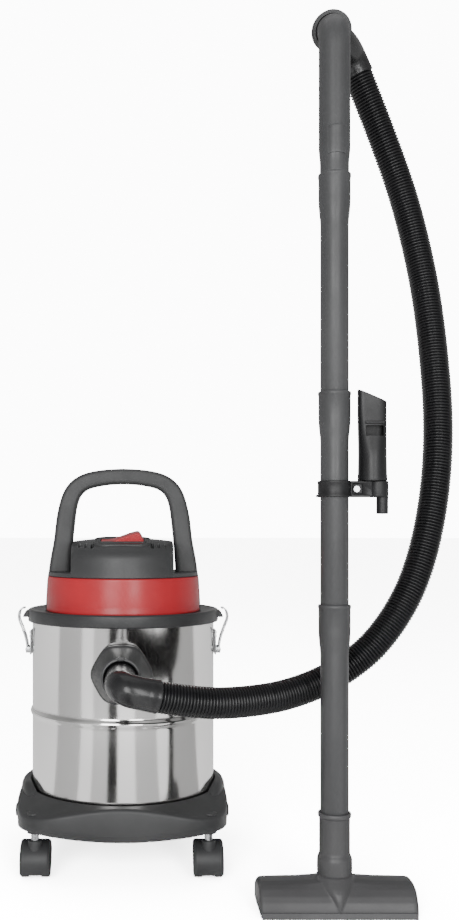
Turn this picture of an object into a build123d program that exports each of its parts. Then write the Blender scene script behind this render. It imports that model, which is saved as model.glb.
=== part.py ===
"""Wet and dry drum vacuum cleaner: drum on a castor trolley, motor head, hose, wand and floor nozzle.

The row stands on z = 0. The drum and the wand each have a vertical axis of their own.
"""

import os
from math import cos, pi, radians, sin, tan

from build123d import *

os.makedirs("parts", exist_ok=True)
on_base = (Align.CENTER, Align.CENTER, Align.MIN)

# ---------------------------------------------------------------- driving dimensions (mm)
drum_x, drum_y = -107.75, 55.55  # axis of the drum
wand_x, wand_y = 163.25, -166.45  # axis of the wand

drum_r, drum_wall = 134.0, 1.6
drum_bottom, drum_top = 100.0, 350.0
bead_z, bead_out, bead_half = 214.0, 2.8, 6.5  # stiffening bead rolled round the drum

inlet_z, inlet_bore, inlet_hole = 283.0, 18.5, 22.0

tray_mid, tray_corner = 150.0, 137.0  # half widths of the trolley at its sides and corners
skirt_low, skirt_top, skirt_wall = 59.0, 105.0, 4.0
castor_x, castor_y, castor_trail = 119.0, 116.0, 12.0
wheel_r, wheel_wide, castor_wide = 23.5, 12.4, 41.0
axle_r, stem_r, running_gap = 2.5, 5.5, 0.05

rim_r, rim_low, rim_top = 140.6, 345.0, 363.0
lid_seat, lid_under, lid_hole = 360.0, 352.0, 70.0
band_r, band_top, dome_r = 113.4, 411.0, 110.0
handle_half = 14.0
leg_in = 106.0  # inner face of the handle's legs beside the band
leg_shelf = 440.0  # where the thick part of each leg stands on the dome

plate_tilt = 9.0  # the switch plate leans to the front
plate_long, plate_deep, plate_thick = 83.0, 70.0, 5.0
rocker_long, rocker_wide = 61.4, 25.4
rocker_belly_r = 6.0

tube_r, tube_bore, tube_long = 18.0, 16.0, 305.0
socket_r, socket_bore, socket_deep = 20.85, 18.15, 42.0
tube_tops = {"upper": 928.0, "middle": 653.0, "lower": 384.0}
neck_top, ball_z, ball_r = 122.0, 31.0, 19.0
grip_low, grip_shoulder, grip_bend_z, grip_turn, grip_bend_r = 898.0, 960.0, 1111.0, 65.0, 38.0
grip_aside = 6.2  # degrees that the grip is turned towards the hose

nozzle_wide, nozzle_front, nozzle_back, nozzle_tall = 196.0, 37.0, 35.0, 40.0
clip_low, clip_top, tool_off = 520.0, 540.5, 48.0
stub_low = 498.7
hose_r = 20.5

drum_face = Plane(origin=(drum_x, drum_y, 0), x_dir=(1, 0, 0), z_dir=(0, -1, 0))
drum_axis = Axis((drum_x, drum_y, 0), (0, 0, 1))
wand_face = Plane(origin=(wand_x, wand_y, 0), x_dir=(1, 0, 0), z_dir=(0, -1, 0))
wand_axis = Axis((wand_x, wand_y, 0), (0, 0, 1))


def at_drum(x, y, z):
    """A place measured from the foot of the drum's axis."""
    return (drum_x + x, drum_y + y, z)


def at_wand(x, y, z):
    """A place measured from the foot of the wand's axis."""
    return (wand_x + x, wand_y + y, z)


# ---------------------------------------------------------------- trolley
skirt_profile = [(0, 59), (150, 59), (160, 66), (210, 66), (210, 86), (178, 88), (142, 105), (0, 105)]
castor_places = {
    "front_left": (-castor_x, -castor_y, 1),
    "front_right": (castor_x, -castor_y, 1),
    "back_left": (-castor_x, castor_y, -1),
    "back_right": (castor_x, castor_y, -1),
}

with BuildPart() as drum_posts:
    with BuildSketch(drum_face):
        with BuildLine():
            Polyline((135, 92), (150.6, 92), (150.2, 106), (144, 114.5), (135, 114.5), close=True)
        make_face()
    revolve(axis=drum_axis)
    with BuildSketch(Plane(origin=at_drum(0, 0, 80))):
        with PolarLocations(145, 2):
            Rectangle(60, 112)
    extrude(amount=60, mode=Mode.INTERSECT)

with BuildPart() as trolley_base:
    with BuildSketch(Plane(origin=at_drum(0, 0, skirt_low))) as plan:
        with BuildLine():
            far, mid = tray_corner, tray_mid
            ThreePointArc((-far, -far), (0, -mid), (far, -far))
            ThreePointArc((far, -far), (mid, 0), (far, far))
            ThreePointArc((far, far), (0, mid), (-far, far))
            ThreePointArc((-far, far), (-mid, 0), (-far, -far))
        make_face()
        fillet(plan.vertices(), radius=28)
    extrude(amount=skirt_top - skirt_low)
    with BuildSketch(drum_face):
        with BuildLine():
            Polyline(*skirt_profile, close=True)
        make_face()
    revolve(axis=drum_axis, mode=Mode.INTERSECT)
    add(drum_posts.part)
    # the hollow under the tray, with solid corners round the castor stems
    with BuildSketch(Plane(origin=at_drum(0, 0, skirt_low))):
        Circle(124)
        with PolarLocations(125, 4):
            Rectangle(41, 110)
    extrude(amount=drum_bottom - skirt_wall - skirt_low, mode=Mode.SUBTRACT)
    # the round recess that the drum stands in
    with Locations(at_drum(0, 0, drum_bottom - 0.1)):
        Cylinder(drum_r + 1, 40, align=on_base, mode=Mode.SUBTRACT)
    for x, y, way in castor_places.values():
        with Locations(at_drum(x, y, skirt_low)):
            Cylinder(stem_r + running_gap, 22, align=on_base, mode=Mode.SUBTRACT)
trolley_base.part.label = "trolley_base"
export_step(trolley_base.part, "parts/trolley_base.step")

with BuildPart() as castor_stems:
    for x, y, way in castor_places.values():
        with Locations(at_drum(x, y, 46.5)):
            Cylinder(stem_r, 33, align=on_base)
castor_stems.part.label = "castor_stems"
export_step(castor_stems.part, "parts/castor_stems.step")

web_half = castor_wide / 2 - wheel_wide - 1.0
for corner, (x, y, way) in castor_places.items():
    hub = at_drum(x, y + way * castor_trail, wheel_r)
    across = Plane(origin=hub, x_dir=(0, 1, 0), z_dir=(1, 0, 0))

    with BuildPart() as wheel_room:
        with BuildSketch(across.offset(web_half)):
            Circle(wheel_r + 0.9)
        extrude(amount=castor_wide)
        mirror(about=across)

    with BuildPart() as castor_hood:
        with BuildSketch(across):
            Circle(27.5)
        extrude(amount=castor_wide / 2, both=True)
        with Locations(at_drum(x, y, 36)):
            Cylinder(9.5, 17.5, align=on_base)
        add(wheel_room.part, mode=Mode.SUBTRACT)
        # open below, and at the back where the wheels show
        with Locations(at_drum(x, y, -6)):
            Box(60, 100, 14, align=on_base, mode=Mode.SUBTRACT)
        with Locations(at_drum(x, y + way * (castor_trail + 24), 4)):
            Box(60, 30, 20, align=on_base, mode=Mode.SUBTRACT)
        with Locations(at_drum(x, y, 46.4)):
            Cylinder(stem_r + running_gap, 20, align=on_base, mode=Mode.SUBTRACT)
        with BuildSketch(across):
            Circle(axle_r + running_gap)
        extrude(amount=castor_wide, both=True, mode=Mode.SUBTRACT)
    castor_hood.part.label = f"castor_hood_{corner}"
    export_step(castor_hood.part, f"parts/castor_hood_{corner}.step")

    with BuildPart() as castor_axle:
        with BuildSketch(across):
            Circle(axle_r)
        extrude(amount=castor_wide / 2 - 1.5, both=True)
    castor_axle.part.label = f"castor_axle_{corner}"
    export_step(castor_axle.part, f"parts/castor_axle_{corner}.step")

    with BuildPart() as castor_wheels:
        with BuildSketch(across.offset(web_half + 0.5)):
            Circle(wheel_r)
            Circle(axle_r + running_gap, mode=Mode.SUBTRACT)
        extrude(amount=wheel_wide)
        chamfer(castor_wheels.edges().filter_by(GeomType.CIRCLE).sort_by(SortBy.RADIUS)[-2:], length=1.2)
        mirror(about=across)
    castor_wheels.part.label = f"castor_wheels_{corner}"
    export_step(castor_wheels.part, f"parts/castor_wheels_{corner}.step")

# ---------------------------------------------------------------- drum and its inlet
with BuildPart() as drum:
    with BuildSketch(drum_face):
        with BuildLine():
            inner = drum_r - drum_wall
            foot, floor_top = drum_bottom + 9, drum_bottom + drum_wall
            Line((0, drum_bottom), (drum_r - 9, drum_bottom))
            ThreePointArc((drum_r - 9, drum_bottom), (drum_r - 2.6, drum_bottom + 2.6), (drum_r, foot))
            bead_low, bead_high = bead_z - bead_half, bead_z + bead_half
            Line((drum_r, foot), (drum_r, bead_low))
            ThreePointArc((drum_r, bead_low), (drum_r + bead_out, bead_z), (drum_r, bead_high))
            Line((drum_r, bead_high), (drum_r, drum_top))
            Polyline((drum_r, drum_top), (inner, drum_top), (inner, foot), (drum_r - 10, floor_top))
            Polyline((drum_r - 10, floor_top), (0, floor_top), (0, drum_bottom))
        make_face()
    revolve(axis=drum_axis)
    with Locations(Location(at_drum(0, -drum_r, inlet_z), (90, 0, 0))):
        Cylinder(inlet_hole, 20, mode=Mode.SUBTRACT)
drum.part.label = "drum"
export_step(drum.part, "parts/drum.step")

with BuildPart() as inlet_gasket:
    with Locations(at_drum(0, 0, inlet_z - 45)):
        Cylinder(drum_r + 1.5, 90, align=on_base)
        Cylinder(drum_r + 0.05, 90, align=on_base, mode=Mode.SUBTRACT)
    with Locations(Location(at_drum(0, -drum_r, inlet_z), (90, 0, 0))):
        Cylinder(33, 40, mode=Mode.INTERSECT)
        Cylinder(inlet_hole, 60, mode=Mode.SUBTRACT)
inlet_gasket.part.label = "inlet_gasket"
export_step(inlet_gasket.part, "parts/inlet_gasket.step")

mouth_y = -174.0
with BuildPart() as inlet_flange:
    with BuildSketch(drum_face.offset(120)):
        with Locations((0, inlet_z)):
            RegularPolygon(42, 6, rotation=0)
    extrude(amount=22)
    fillet(inlet_flange.edges().filter_by(Axis.Y), radius=14)
    with BuildSketch(drum_face.offset(142)):
        with Locations((0, inlet_z)):
            Circle(36)
    with BuildSketch(drum_face.offset(-mouth_y)):
        with Locations((0, inlet_z)):
            Circle(26)
    loft()
    with Locations(at_drum(0, 0, inlet_z - 60)):
        Cylinder(drum_r + 1.6, 120, align=on_base, mode=Mode.SUBTRACT)
    # spigot through the drum's wall
    with BuildSketch(drum_face.offset(124)):
        with Locations((0, inlet_z)):
            Circle(inlet_hole - 0.5)
    extrude(amount=20)
    with BuildSketch(drum_face.offset(110)):
        with Locations((0, inlet_z)):
            Circle(inlet_bore)
    extrude(amount=100, mode=Mode.SUBTRACT)
    with BuildSketch(drum_face.offset(150)):
        with Locations((0, inlet_z)):
            Circle(22.6)
    extrude(amount=60, mode=Mode.SUBTRACT)
inlet_flange.part.label = "inlet_flange"
export_step(inlet_flange.part, "parts/inlet_flange.step")

with BuildPart() as inlet_deflector:
    with BuildSketch(drum_face.offset(104)):
        with Locations((0, inlet_z - 4)):
            RectangleRounded(60, 60, 12)
    extrude(amount=27)
    with BuildSketch(drum_face.offset(107)):
        with Locations((0, inlet_z - 18)):
            RectangleRounded(54, 82, 10)
    extrude(amount=40, mode=Mode.SUBTRACT)
    with Locations(at_drum(0, 0, inlet_z - 60)):
        Cylinder(drum_r - drum_wall - 0.2, 120, align=on_base, mode=Mode.INTERSECT)
inlet_deflector.part.label = "inlet_deflector"
export_step(inlet_deflector.part, "parts/inlet_deflector.step")

# ---------------------------------------------------------------- latches
latch_pin_u, latch_pin_z, latch_pin_r = 141.5, 302.0, 1.5
for side, way in (("left", -1), ("right", 1)):
    with BuildPart() as latch_bracket:
        with Locations(at_drum(way * 136.2, 0, 296)):
            Box(3.2, 30, 34, align=on_base)
        with Locations(at_drum(0, 0, 280)):
            Cylinder(drum_r + 0.1, 60, align=on_base, mode=Mode.SUBTRACT)
        for ear in (-12.5, 12.5):
            with Locations(at_drum(way * 140.5, ear, latch_pin_z - 4)):
                Box(8, 2, 8, align=on_base)
        with Locations(Location(at_drum(way * latch_pin_u, 0, latch_pin_z), (90, 0, 0))):
            Cylinder(latch_pin_r, 26)
    latch_bracket.part.label = f"latch_bracket_{side}"
    export_step(latch_bracket.part, f"parts/latch_bracket_{side}.step")

    with BuildPart() as latch_lever:
        with Locations(Location(at_drum(way * latch_pin_u, 0, latch_pin_z), (90, 0, 0))):
            Cylinder(3.0, 22)
        with Locations(at_drum(way * (latch_pin_u + 1), 0, latch_pin_z)):
            Box(2, 14, 26, align=on_base)
        with Locations(Location(at_drum(way * latch_pin_u, 0, latch_pin_z), (90, 0, 0))):
            Cylinder(latch_pin_r + running_gap, 30, mode=Mode.SUBTRACT)
    latch_lever.part.label = f"latch_lever_{side}"
    export_step(latch_lever.part, f"parts/latch_lever_{side}.step")

    with BuildPart() as latch_bail:
        with BuildSketch(drum_face):
            with BuildLine():
                outline = [(140.6, 306), (148.5, 332), (153.5, 352), (152, 358), (146.3, 363.5)]
                outline += [(144.8, 361.6), (149.8, 351), (146.4, 333), (138.8, 306.8)]
                Polyline(*[(way * u, z) for u, z in outline], close=True)
            make_face()
        extrude(amount=10.6, both=True)
        with Locations(at_drum(way * 146, 0, 300)):
            Box(40, 15, 51, align=on_base, mode=Mode.SUBTRACT)
    latch_bail.part.label = f"latch_bail_{side}"
    export_step(latch_bail.part, f"parts/latch_bail_{side}.step")

# ---------------------------------------------------------------- motor head
lug_outline = [(139, 350), (148, 350), (143.2, 360), (139, 360)]
with BuildPart() as lid:
    with BuildSketch(drum_face):
        with BuildLine():
            Polyline(
                (lid_hole, lid_under), (136.9, lid_under), (136.9, rim_low), (rim_r, rim_low), (rim_r, 360),
                (138.4, rim_top), (116, lid_seat), (lid_hole, lid_seat), close=True,
            )
        make_face()
    revolve(axis=drum_axis)
    # sloped catch lugs for the latches
    for way in (-1, 1):
        with BuildSketch(drum_face):
            with BuildLine():
                Polyline(*[(way * u, z) for u, z in lug_outline], close=True)
            make_face()
        extrude(amount=12, both=True)
lid.part.label = "lid"
export_step(lid.part, "parts/lid.step")


def drum_ring(outer, inner, low, high):
    """A plain ring round the drum's axis."""
    with BuildPart() as ring:
        with Locations(at_drum(0, 0, low)):
            Cylinder(outer, high - low, align=on_base)
            if inner > 0:
                Cylinder(inner, high - low, align=on_base, mode=Mode.SUBTRACT)
    return ring


lid_seal = drum_ring(135.5, 129.5, drum_top + 0.1, lid_under)
lid_seal.part.label = "lid_seal"
export_step(lid_seal.part, "parts/lid_seal.step")

with BuildPart() as red_band:
    with Locations(at_drum(0, 0, lid_seat)):
        Cylinder(band_r, band_top - lid_seat, align=on_base)
        Cylinder(band_r - 10.4, band_top - lid_seat, align=on_base, mode=Mode.SUBTRACT)
    for way in (-1, 1):
        with Locations(at_drum(way * (leg_in + 9.7), 0, lid_seat)):
            Box(20, 2 * handle_half + 0.8, 80, align=on_base, mode=Mode.SUBTRACT)
red_band.part.label = "red_band"
export_step(red_band.part, "parts/red_band.step")

switch_plane = Plane(
    origin=at_drum(0, -60, 462.5),
    x_dir=(1, 0, 0),
    z_dir=(0, -sin(radians(plate_tilt)), cos(radians(plate_tilt))),
)
with BuildPart() as dome:
    with BuildSketch(drum_face):
        with BuildLine():
            Polyline((0, band_top), (dome_r, band_top), (dome_r - 1, 437), (dome_r - 5, 447))
            Spline((dome_r - 5, 447), (92, 457), (71, 462.5), (0, 467), tangents=[(-1, 1.1), (-1, 0)])
            Line((0, 467), (0, band_top))
        make_face()
    revolve(axis=drum_axis)
    with BuildSketch(drum_face):
        with BuildLine():
            Polyline((0, 400), (103.5, 400), (103.5, 432), (70, 434), (68, 450), (0, 452), close=True)
        make_face()
    revolve(axis=drum_axis, mode=Mode.SUBTRACT)
    # pockets that the handle's legs stand in
    for way in (-1, 1):
        with Locations(at_drum(way * 97.6, 0, leg_shelf - 0.2)):
            Box(50, 2 * handle_half + 0.8, 80, align=on_base, mode=Mode.SUBTRACT)
        with Locations(at_drum(way * (leg_in + 9.7), 0, band_top)):
            Box(20, 2 * handle_half + 0.8, 80, align=on_base, mode=Mode.SUBTRACT)
    # seat of the switch plate, and the well under the rocker
    with BuildSketch(switch_plane.offset(-plate_thick - 0.1)):
        RectangleRounded(plate_long + 0.8, plate_deep + 0.8, 22)
    extrude(amount=60, mode=Mode.SUBTRACT)
    with BuildSketch(switch_plane.offset(-20)):
        Rectangle(rocker_long + 3, rocker_wide + 2)
    extrude(amount=30, mode=Mode.SUBTRACT)
    # air slots each side of the switch plate
    for way in (-1, 1):
        for x, y in ((48, -78), (58, -70)):
            with Locations(at_drum(way * x, y, 448)):
                Box(5, 24, 40, align=on_base, mode=Mode.SUBTRACT)
    # hole for the mains lead's gland
    with Locations(Location(at_drum(0, dome_r, 425), (90, 0, 0))):
        Cylinder(6.1, 30, mode=Mode.SUBTRACT)
dome.part.label = "dome"
export_step(dome.part, "parts/dome.step")

with BuildPart() as cable_gland:
    with Locations(Location(at_drum(0, dome_r + 0.3, 425), (-90, 0, 0))):
        Cylinder(9, 5, align=on_base)
        Cone(7.5, 5, 22, align=on_base)
    with Locations(Location(at_drum(0, dome_r + 1, 425), (90, 0, 0))):
        Cylinder(6, 10, align=on_base)
    with Locations(Location(at_drum(0, dome_r, 425), (90, 0, 0))):
        Cylinder(3.5, 80, mode=Mode.SUBTRACT)
cable_gland.part.label = "cable_gland"
export_step(cable_gland.part, "parts/cable_gland.step")

outer_arch = [
    (0, 571), (53, 565.5), (82, 547), (93, 523), (99, 493),
    (102.6, 464), (108.5, 434), (112.3, 404), (114.6, 360.3),
]
inner_arch = [(73.5, 470), (70.6, 497), (66.5, 521), (57, 535.5), (38.7, 541), (0, 544.5)]
with BuildPart() as carry_handle:
    with BuildSketch(drum_face):
        with BuildLine():
            Spline(*outer_arch, tangents=[(1, 0), (0.05, -1)])
            Polyline(outer_arch[-1], (leg_in, 360.3), (leg_in, leg_shelf), (77, leg_shelf), inner_arch[0])
            Spline(*inner_arch, tangents=[(-0.1, 1), (-1, 0)])
            Line(inner_arch[-1], outer_arch[0])
        make_face()
        mirror(about=Plane.YZ)
    extrude(amount=handle_half, both=True)
carry_handle.part.label = "carry_handle"
export_step(carry_handle.part, "parts/carry_handle.step")

with BuildPart() as switch_plate:
    with BuildSketch(switch_plane.offset(-plate_thick)):
        RectangleRounded(plate_long, plate_deep, 21.6)
        Rectangle(rocker_long + 1.2, rocker_wide + 0.8, mode=Mode.SUBTRACT)
    extrude(amount=plate_thick + 1.5)
switch_plate.part.label = "switch_plate"
export_step(switch_plate.part, "parts/switch_plate.step")

rocker_side = Plane(origin=switch_plane.origin, x_dir=(1, 0, 0), z_dir=-switch_plane.y_dir)
with BuildPart() as rocker_switch:
    with BuildSketch(rocker_side):
        with BuildLine():
            half = rocker_long / 2
            Polyline(
                (-half, -3), (-half, 1), (-6, 5), (19, 13), (24, 12.4),
                (half, 1), (half, -3), close=True,
            )
        make_face()
    extrude(amount=rocker_wide / 2, both=True)
    # round belly that the rocker turns on
    with BuildSketch(rocker_side):
        Circle(rocker_belly_r)
    extrude(amount=rocker_wide / 2, both=True)
rocker_switch.part.label = "rocker_switch"
export_step(rocker_switch.part, "parts/rocker_switch.step")

# inside the head, from the bottom up
cage_r, cage_low = 40.0, 258.0
with BuildPart() as motor_chamber:
    with Locations(at_drum(0, 0, 322)):
        Cylinder(68, 41, align=on_base)
    with Locations(at_drum(0, 0, lid_seat + 0.1)):
        Cylinder(82, 3, align=on_base)
    with Locations(at_drum(0, 0, 325)):
        Cylinder(64, 50, align=on_base, mode=Mode.SUBTRACT)
    with Locations(at_drum(0, 0, 310)):
        Cylinder(25, 30, align=on_base, mode=Mode.SUBTRACT)
motor_chamber.part.label = "motor_chamber"
export_step(motor_chamber.part, "parts/motor_chamber.step")

shaft_r = 4.0
with BuildPart() as impeller:
    with Locations(at_drum(0, 0, 330)):
        Cylinder(57, 2, align=on_base)
        Cylinder(25, 2, align=on_base, mode=Mode.SUBTRACT)
    with Locations(at_drum(0, 0, 344)):
        Cylinder(57, 2, align=on_base)
    with Locations(at_drum(0, 0, 331.5)):
        with PolarLocations(40, 9):
            Box(30, 1.6, 13, align=on_base)
    with Locations(at_drum(0, 0, 338)):
        Cylinder(9, 8, align=on_base)
        Cylinder(shaft_r, 104, align=on_base)
impeller.part.label = "impeller"
export_step(impeller.part, "parts/impeller.step")

with BuildPart() as motor_core:
    with Locations(at_drum(0, 0, 352)):
        Cylinder(63.5, 4, align=on_base)
    with Locations(at_drum(0, 0, 356)):
        Cylinder(46, 74, align=on_base)
    fillet(motor_core.faces().sort_by(Axis.Z)[-1].edges(), radius=8)
    with Locations(at_drum(0, 0, 340)):
        Cylinder(shaft_r + running_gap, 110, align=on_base, mode=Mode.SUBTRACT)
motor_core.part.label = "motor_core"
export_step(motor_core.part, "parts/motor_core.step")

with BuildPart() as filter_cage:
    with Locations(at_drum(0, 0, cage_low)):
        Cylinder(cage_r, 61, align=on_base)
    with Locations(at_drum(0, 0, 316)):
        Cylinder(66, 5.8, align=on_base)
    with Locations(at_drum(0, 0, cage_low + 3)):
        Cylinder(cage_r - 3, 80, align=on_base, mode=Mode.SUBTRACT)
    with Locations(at_drum(0, 0, cage_low + 8)):
        with PolarLocations(cage_r, 8):
            Box(20, 14, 44, align=on_base, mode=Mode.SUBTRACT)
filter_cage.part.label = "filter_cage"
export_step(filter_cage.part, "parts/filter_cage.step")

with BuildPart() as float_valve:
    with Locations(at_drum(0, 0, cage_low + 3.5)):
        Cylinder(34, 22, align=on_base)
    fillet(float_valve.edges(), radius=5)
float_valve.part.label = "float_valve"
export_step(float_valve.part, "parts/float_valve.step")

pleats = 36
with BuildPart() as cartridge_filter:
    with BuildSketch(Plane(origin=at_drum(0, 0, 216))):
        with BuildLine():
            step = 2 * pi / pleats
            ring = []
            for pleat in range(pleats):
                ring.append((64 * cos(pleat * step), 64 * sin(pleat * step)))
                ring.append((56 * cos((pleat + 0.5) * step), 56 * sin((pleat + 0.5) * step)))
            Polyline(*ring, close=True)
        make_face()
        Circle(44, mode=Mode.SUBTRACT)
    extrude(amount=94)
    with Locations(at_drum(0, 0, 210)):
        Cylinder(66, 6, align=on_base)
    with Locations(at_drum(0, 0, 310)):
        Cylinder(66, 5.8, align=on_base)
        Cylinder(44, 5.8, align=on_base, mode=Mode.SUBTRACT)
cartridge_filter.part.label = "cartridge_filter"
export_step(cartridge_filter.part, "parts/cartridge_filter.step")

# ---------------------------------------------------------------- wand
for name, top in tube_tops.items():
    low = top - tube_long
    with BuildPart() as wand_tube:
        with BuildSketch(wand_face):
            with BuildLine():
                Polyline(
                    (tube_bore, low), (tube_r, low), (tube_r, top - socket_deep - 22),
                    (socket_r, top - socket_deep), (socket_r, top), (socket_bore, top),
                    (socket_bore, top - 38), (tube_bore, top - 44), close=True,
                )
            make_face()
        revolve(axis=wand_axis)
    wand_tube.part.label = f"wand_tube_{name}"
    export_step(wand_tube.part, f"parts/wand_tube_{name}.step")

turn = radians(grip_turn)
aside = radians(grip_aside)
grip_back = Vector(sin(turn) * sin(aside), sin(turn) * cos(aside), cos(turn))
bend_point = Vector(wand_x, wand_y, grip_bend_z)
grip_end = bend_point + grip_back * 62
grip_tip_plane = Plane(origin=grip_end, x_dir=(cos(aside), -sin(aside), 0), z_dir=grip_back)


def grip_path(start):
    """Centre line of the bent grip from a height on the wand's axis to the grip's end."""
    with BuildLine() as line:
        FilletPolyline((wand_x, wand_y, start), bend_point, grip_end + grip_back * 0.01, radius=grip_bend_r)
    return line


grip_outer = grip_path(grip_shoulder)
grip_inner = grip_path(grip_low)
with BuildPart() as bent_grip:
    with BuildSketch(Plane(origin=(wand_x, wand_y, grip_shoulder))):
        Circle(socket_r)
    sweep(path=grip_outer.wires()[0])
    with BuildSketch(wand_face):
        with BuildLine():
            Polyline(
                (0, grip_low), (tube_r, grip_low), (tube_r, 928.2), (19, 928.2), (19, 945),
                (socket_r, grip_shoulder), (0, grip_shoulder), close=True,
            )
        make_face()
    revolve(axis=wand_axis)
    with BuildSketch(Plane(origin=(wand_x, wand_y, grip_low))):
        Circle(15.5)
    sweep(path=grip_inner.wires()[0], mode=Mode.SUBTRACT)
    # recess and hole of the air slider, on the front
    with Locations(at_wand(0, -21.5, 950)):
        Box(14.6, 6, 48, align=on_base, mode=Mode.SUBTRACT)
    with Locations(Location(at_wand(0, -17, 966), (90, 0, 0))):
        Cylinder(4, 10, mode=Mode.SUBTRACT)
bent_grip.part.label = "bent_grip"
export_step(bent_grip.part, "parts/bent_grip.step")

with BuildPart() as air_slider:
    with Locations(at_wand(0, -20.2, 952)):
        Box(14, 2.8, 32, align=on_base)
    fillet(air_slider.edges().filter_by(Axis.Y), radius=3)
air_slider.part.label = "air_slider"
export_step(air_slider.part, "parts/air_slider.step")

with BuildPart() as grip_collar:
    with BuildSketch(grip_tip_plane.offset(-22)):
        Circle(25.6)
        Circle(socket_r + 0.1, mode=Mode.SUBTRACT)
    extrude(amount=24)
    with BuildSketch(grip_tip_plane.offset(0.1)):
        Circle(socket_r + 0.1)
        Circle(16, mode=Mode.SUBTRACT)
    extrude(amount=1.9)
    fillet(grip_collar.edges().filter_by(GeomType.CIRCLE).sort_by(SortBy.RADIUS)[-2:], radius=2.5)
grip_collar.part.label = "grip_collar"
export_step(grip_collar.part, "parts/grip_collar.step")

with BuildPart() as accessory_clip:
    with Locations(at_wand(0, 0, clip_low)):
        Cylinder(tube_r + 3.2, clip_top - clip_low, align=on_base)
    with Locations(at_wand(tube_r + 1, 0, clip_low)):
        Box(36, 17, clip_top - clip_low, align=(Align.MIN, Align.CENTER, Align.MIN))
    with Locations(at_wand(tool_off + 7, 0, clip_low)):
        Cylinder(13, clip_top - clip_low, align=on_base)
    with Locations(at_wand(tool_off, 0, clip_top)):
        Cylinder(14, 26, align=on_base)
    with Locations(at_wand(tool_off + 12.4, 0, stub_low)):
        Cylinder(7.5, clip_low - stub_low + 3, align=on_base)
    with Locations(at_wand(0, 0, clip_low)):
        Cylinder(tube_r + running_gap, 40, align=on_base, mode=Mode.SUBTRACT)
    with Locations(Location(at_wand(26, 0, 530), (90, 0, 0))):
        Cylinder(2.05, 40, mode=Mode.SUBTRACT)
accessory_clip.part.label = "accessory_clip"
export_step(accessory_clip.part, "parts/accessory_clip.step")

with BuildPart() as clip_screw:
    with Locations(Location(at_wand(26, -8.6, 530), (90, 0, 0))):
        Cylinder(3.8, 2.4, align=on_base)
    with Locations(Location(at_wand(26, -8.7, 530), (-90, 0, 0))):
        Cylinder(2, 16, align=on_base)
clip_screw.part.label = "clip_screw"
export_step(clip_screw.part, "parts/clip_screw.step")

tool_low, tool_top = clip_top + 0.5, 655.0
with BuildPart() as crevice_tool:
    for wall, mode in ((0, Mode.ADD), (1.8, Mode.SUBTRACT)):
        with BuildSketch(Plane(origin=at_wand(tool_off, 0, tool_low))):
            Circle(18.3 - wall)
        with BuildSketch(Plane(origin=at_wand(tool_off, 0, 572))):
            Circle(17.6 - wall)
        loft(ruled=True, mode=mode)
        with BuildSketch(Plane(origin=at_wand(tool_off, 0, 572))):
            Circle(17.6 - wall)
        with BuildSketch(Plane(origin=at_wand(tool_off, 0, 660))):
            SlotOverall(35.6 - 2 * wall, 17 - 2 * wall)
        loft(mode=mode)
    # slanted mouth
    with BuildSketch(Plane(origin=at_wand(tool_off, -30, 0), x_dir=(1, 0, 0), z_dir=(0, -1, 0))):
        with BuildLine():
            Polyline((-20, tool_top), (20, tool_top - 14.5), (20, 690), (-20, 690), close=True)
        make_face()
    extrude(amount=-60, mode=Mode.SUBTRACT)
    # window in the front wall
    with Locations(at_wand(tool_off + 1.5, -12, 596.5)):
        Box(23, 14, 13.5, align=on_base, mode=Mode.SUBTRACT)
crevice_tool.part.label = "crevice_tool"
export_step(crevice_tool.part, "parts/crevice_tool.step")

# ---------------------------------------------------------------- floor nozzle
with BuildPart() as nozzle_neck:
    with BuildSketch(wand_face):
        with BuildLine():
            Polyline(
                (15, 36), (17, 40), (22, 46), (22, 64), (19.3, 70), (19.3, 116), (21, 118), (21, neck_top),
                (socket_bore, neck_top), (socket_bore, 76), (15, 70), close=True,
            )
        make_face()
    revolve(axis=wand_axis)
    with Locations(at_wand(0, 0, ball_z)):
        Sphere(ball_r)
    with Locations(at_wand(0, 0, ball_z - 30)):
        Cylinder(12, 80, align=on_base, mode=Mode.SUBTRACT)
    with Locations(at_wand(0, 0, 60)):
        Cylinder(15, 20, align=on_base, mode=Mode.SUBTRACT)
    with Locations(at_wand(0, 0, 76)):
        Cylinder(socket_bore, 80, align=on_base, mode=Mode.SUBTRACT)
    with Locations(Location(at_wand(0, 0, ball_z), (0, 90, 0))):
        Cylinder(2.5, 60, mode=Mode.SUBTRACT)
nozzle_neck.part.label = "nozzle_neck"
export_step(nozzle_neck.part, "parts/nozzle_neck.step")

with BuildPart() as pivot_pins:
    for way in (-1, 1):
        with Locations(Location(at_wand(way * 19, 0, ball_z), (0, 90, 0))):
            Cylinder(2.5 - running_gap, 9)
pivot_pins.part.label = "pivot_pins"
export_step(pivot_pins.part, "parts/pivot_pins.step")

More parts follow.
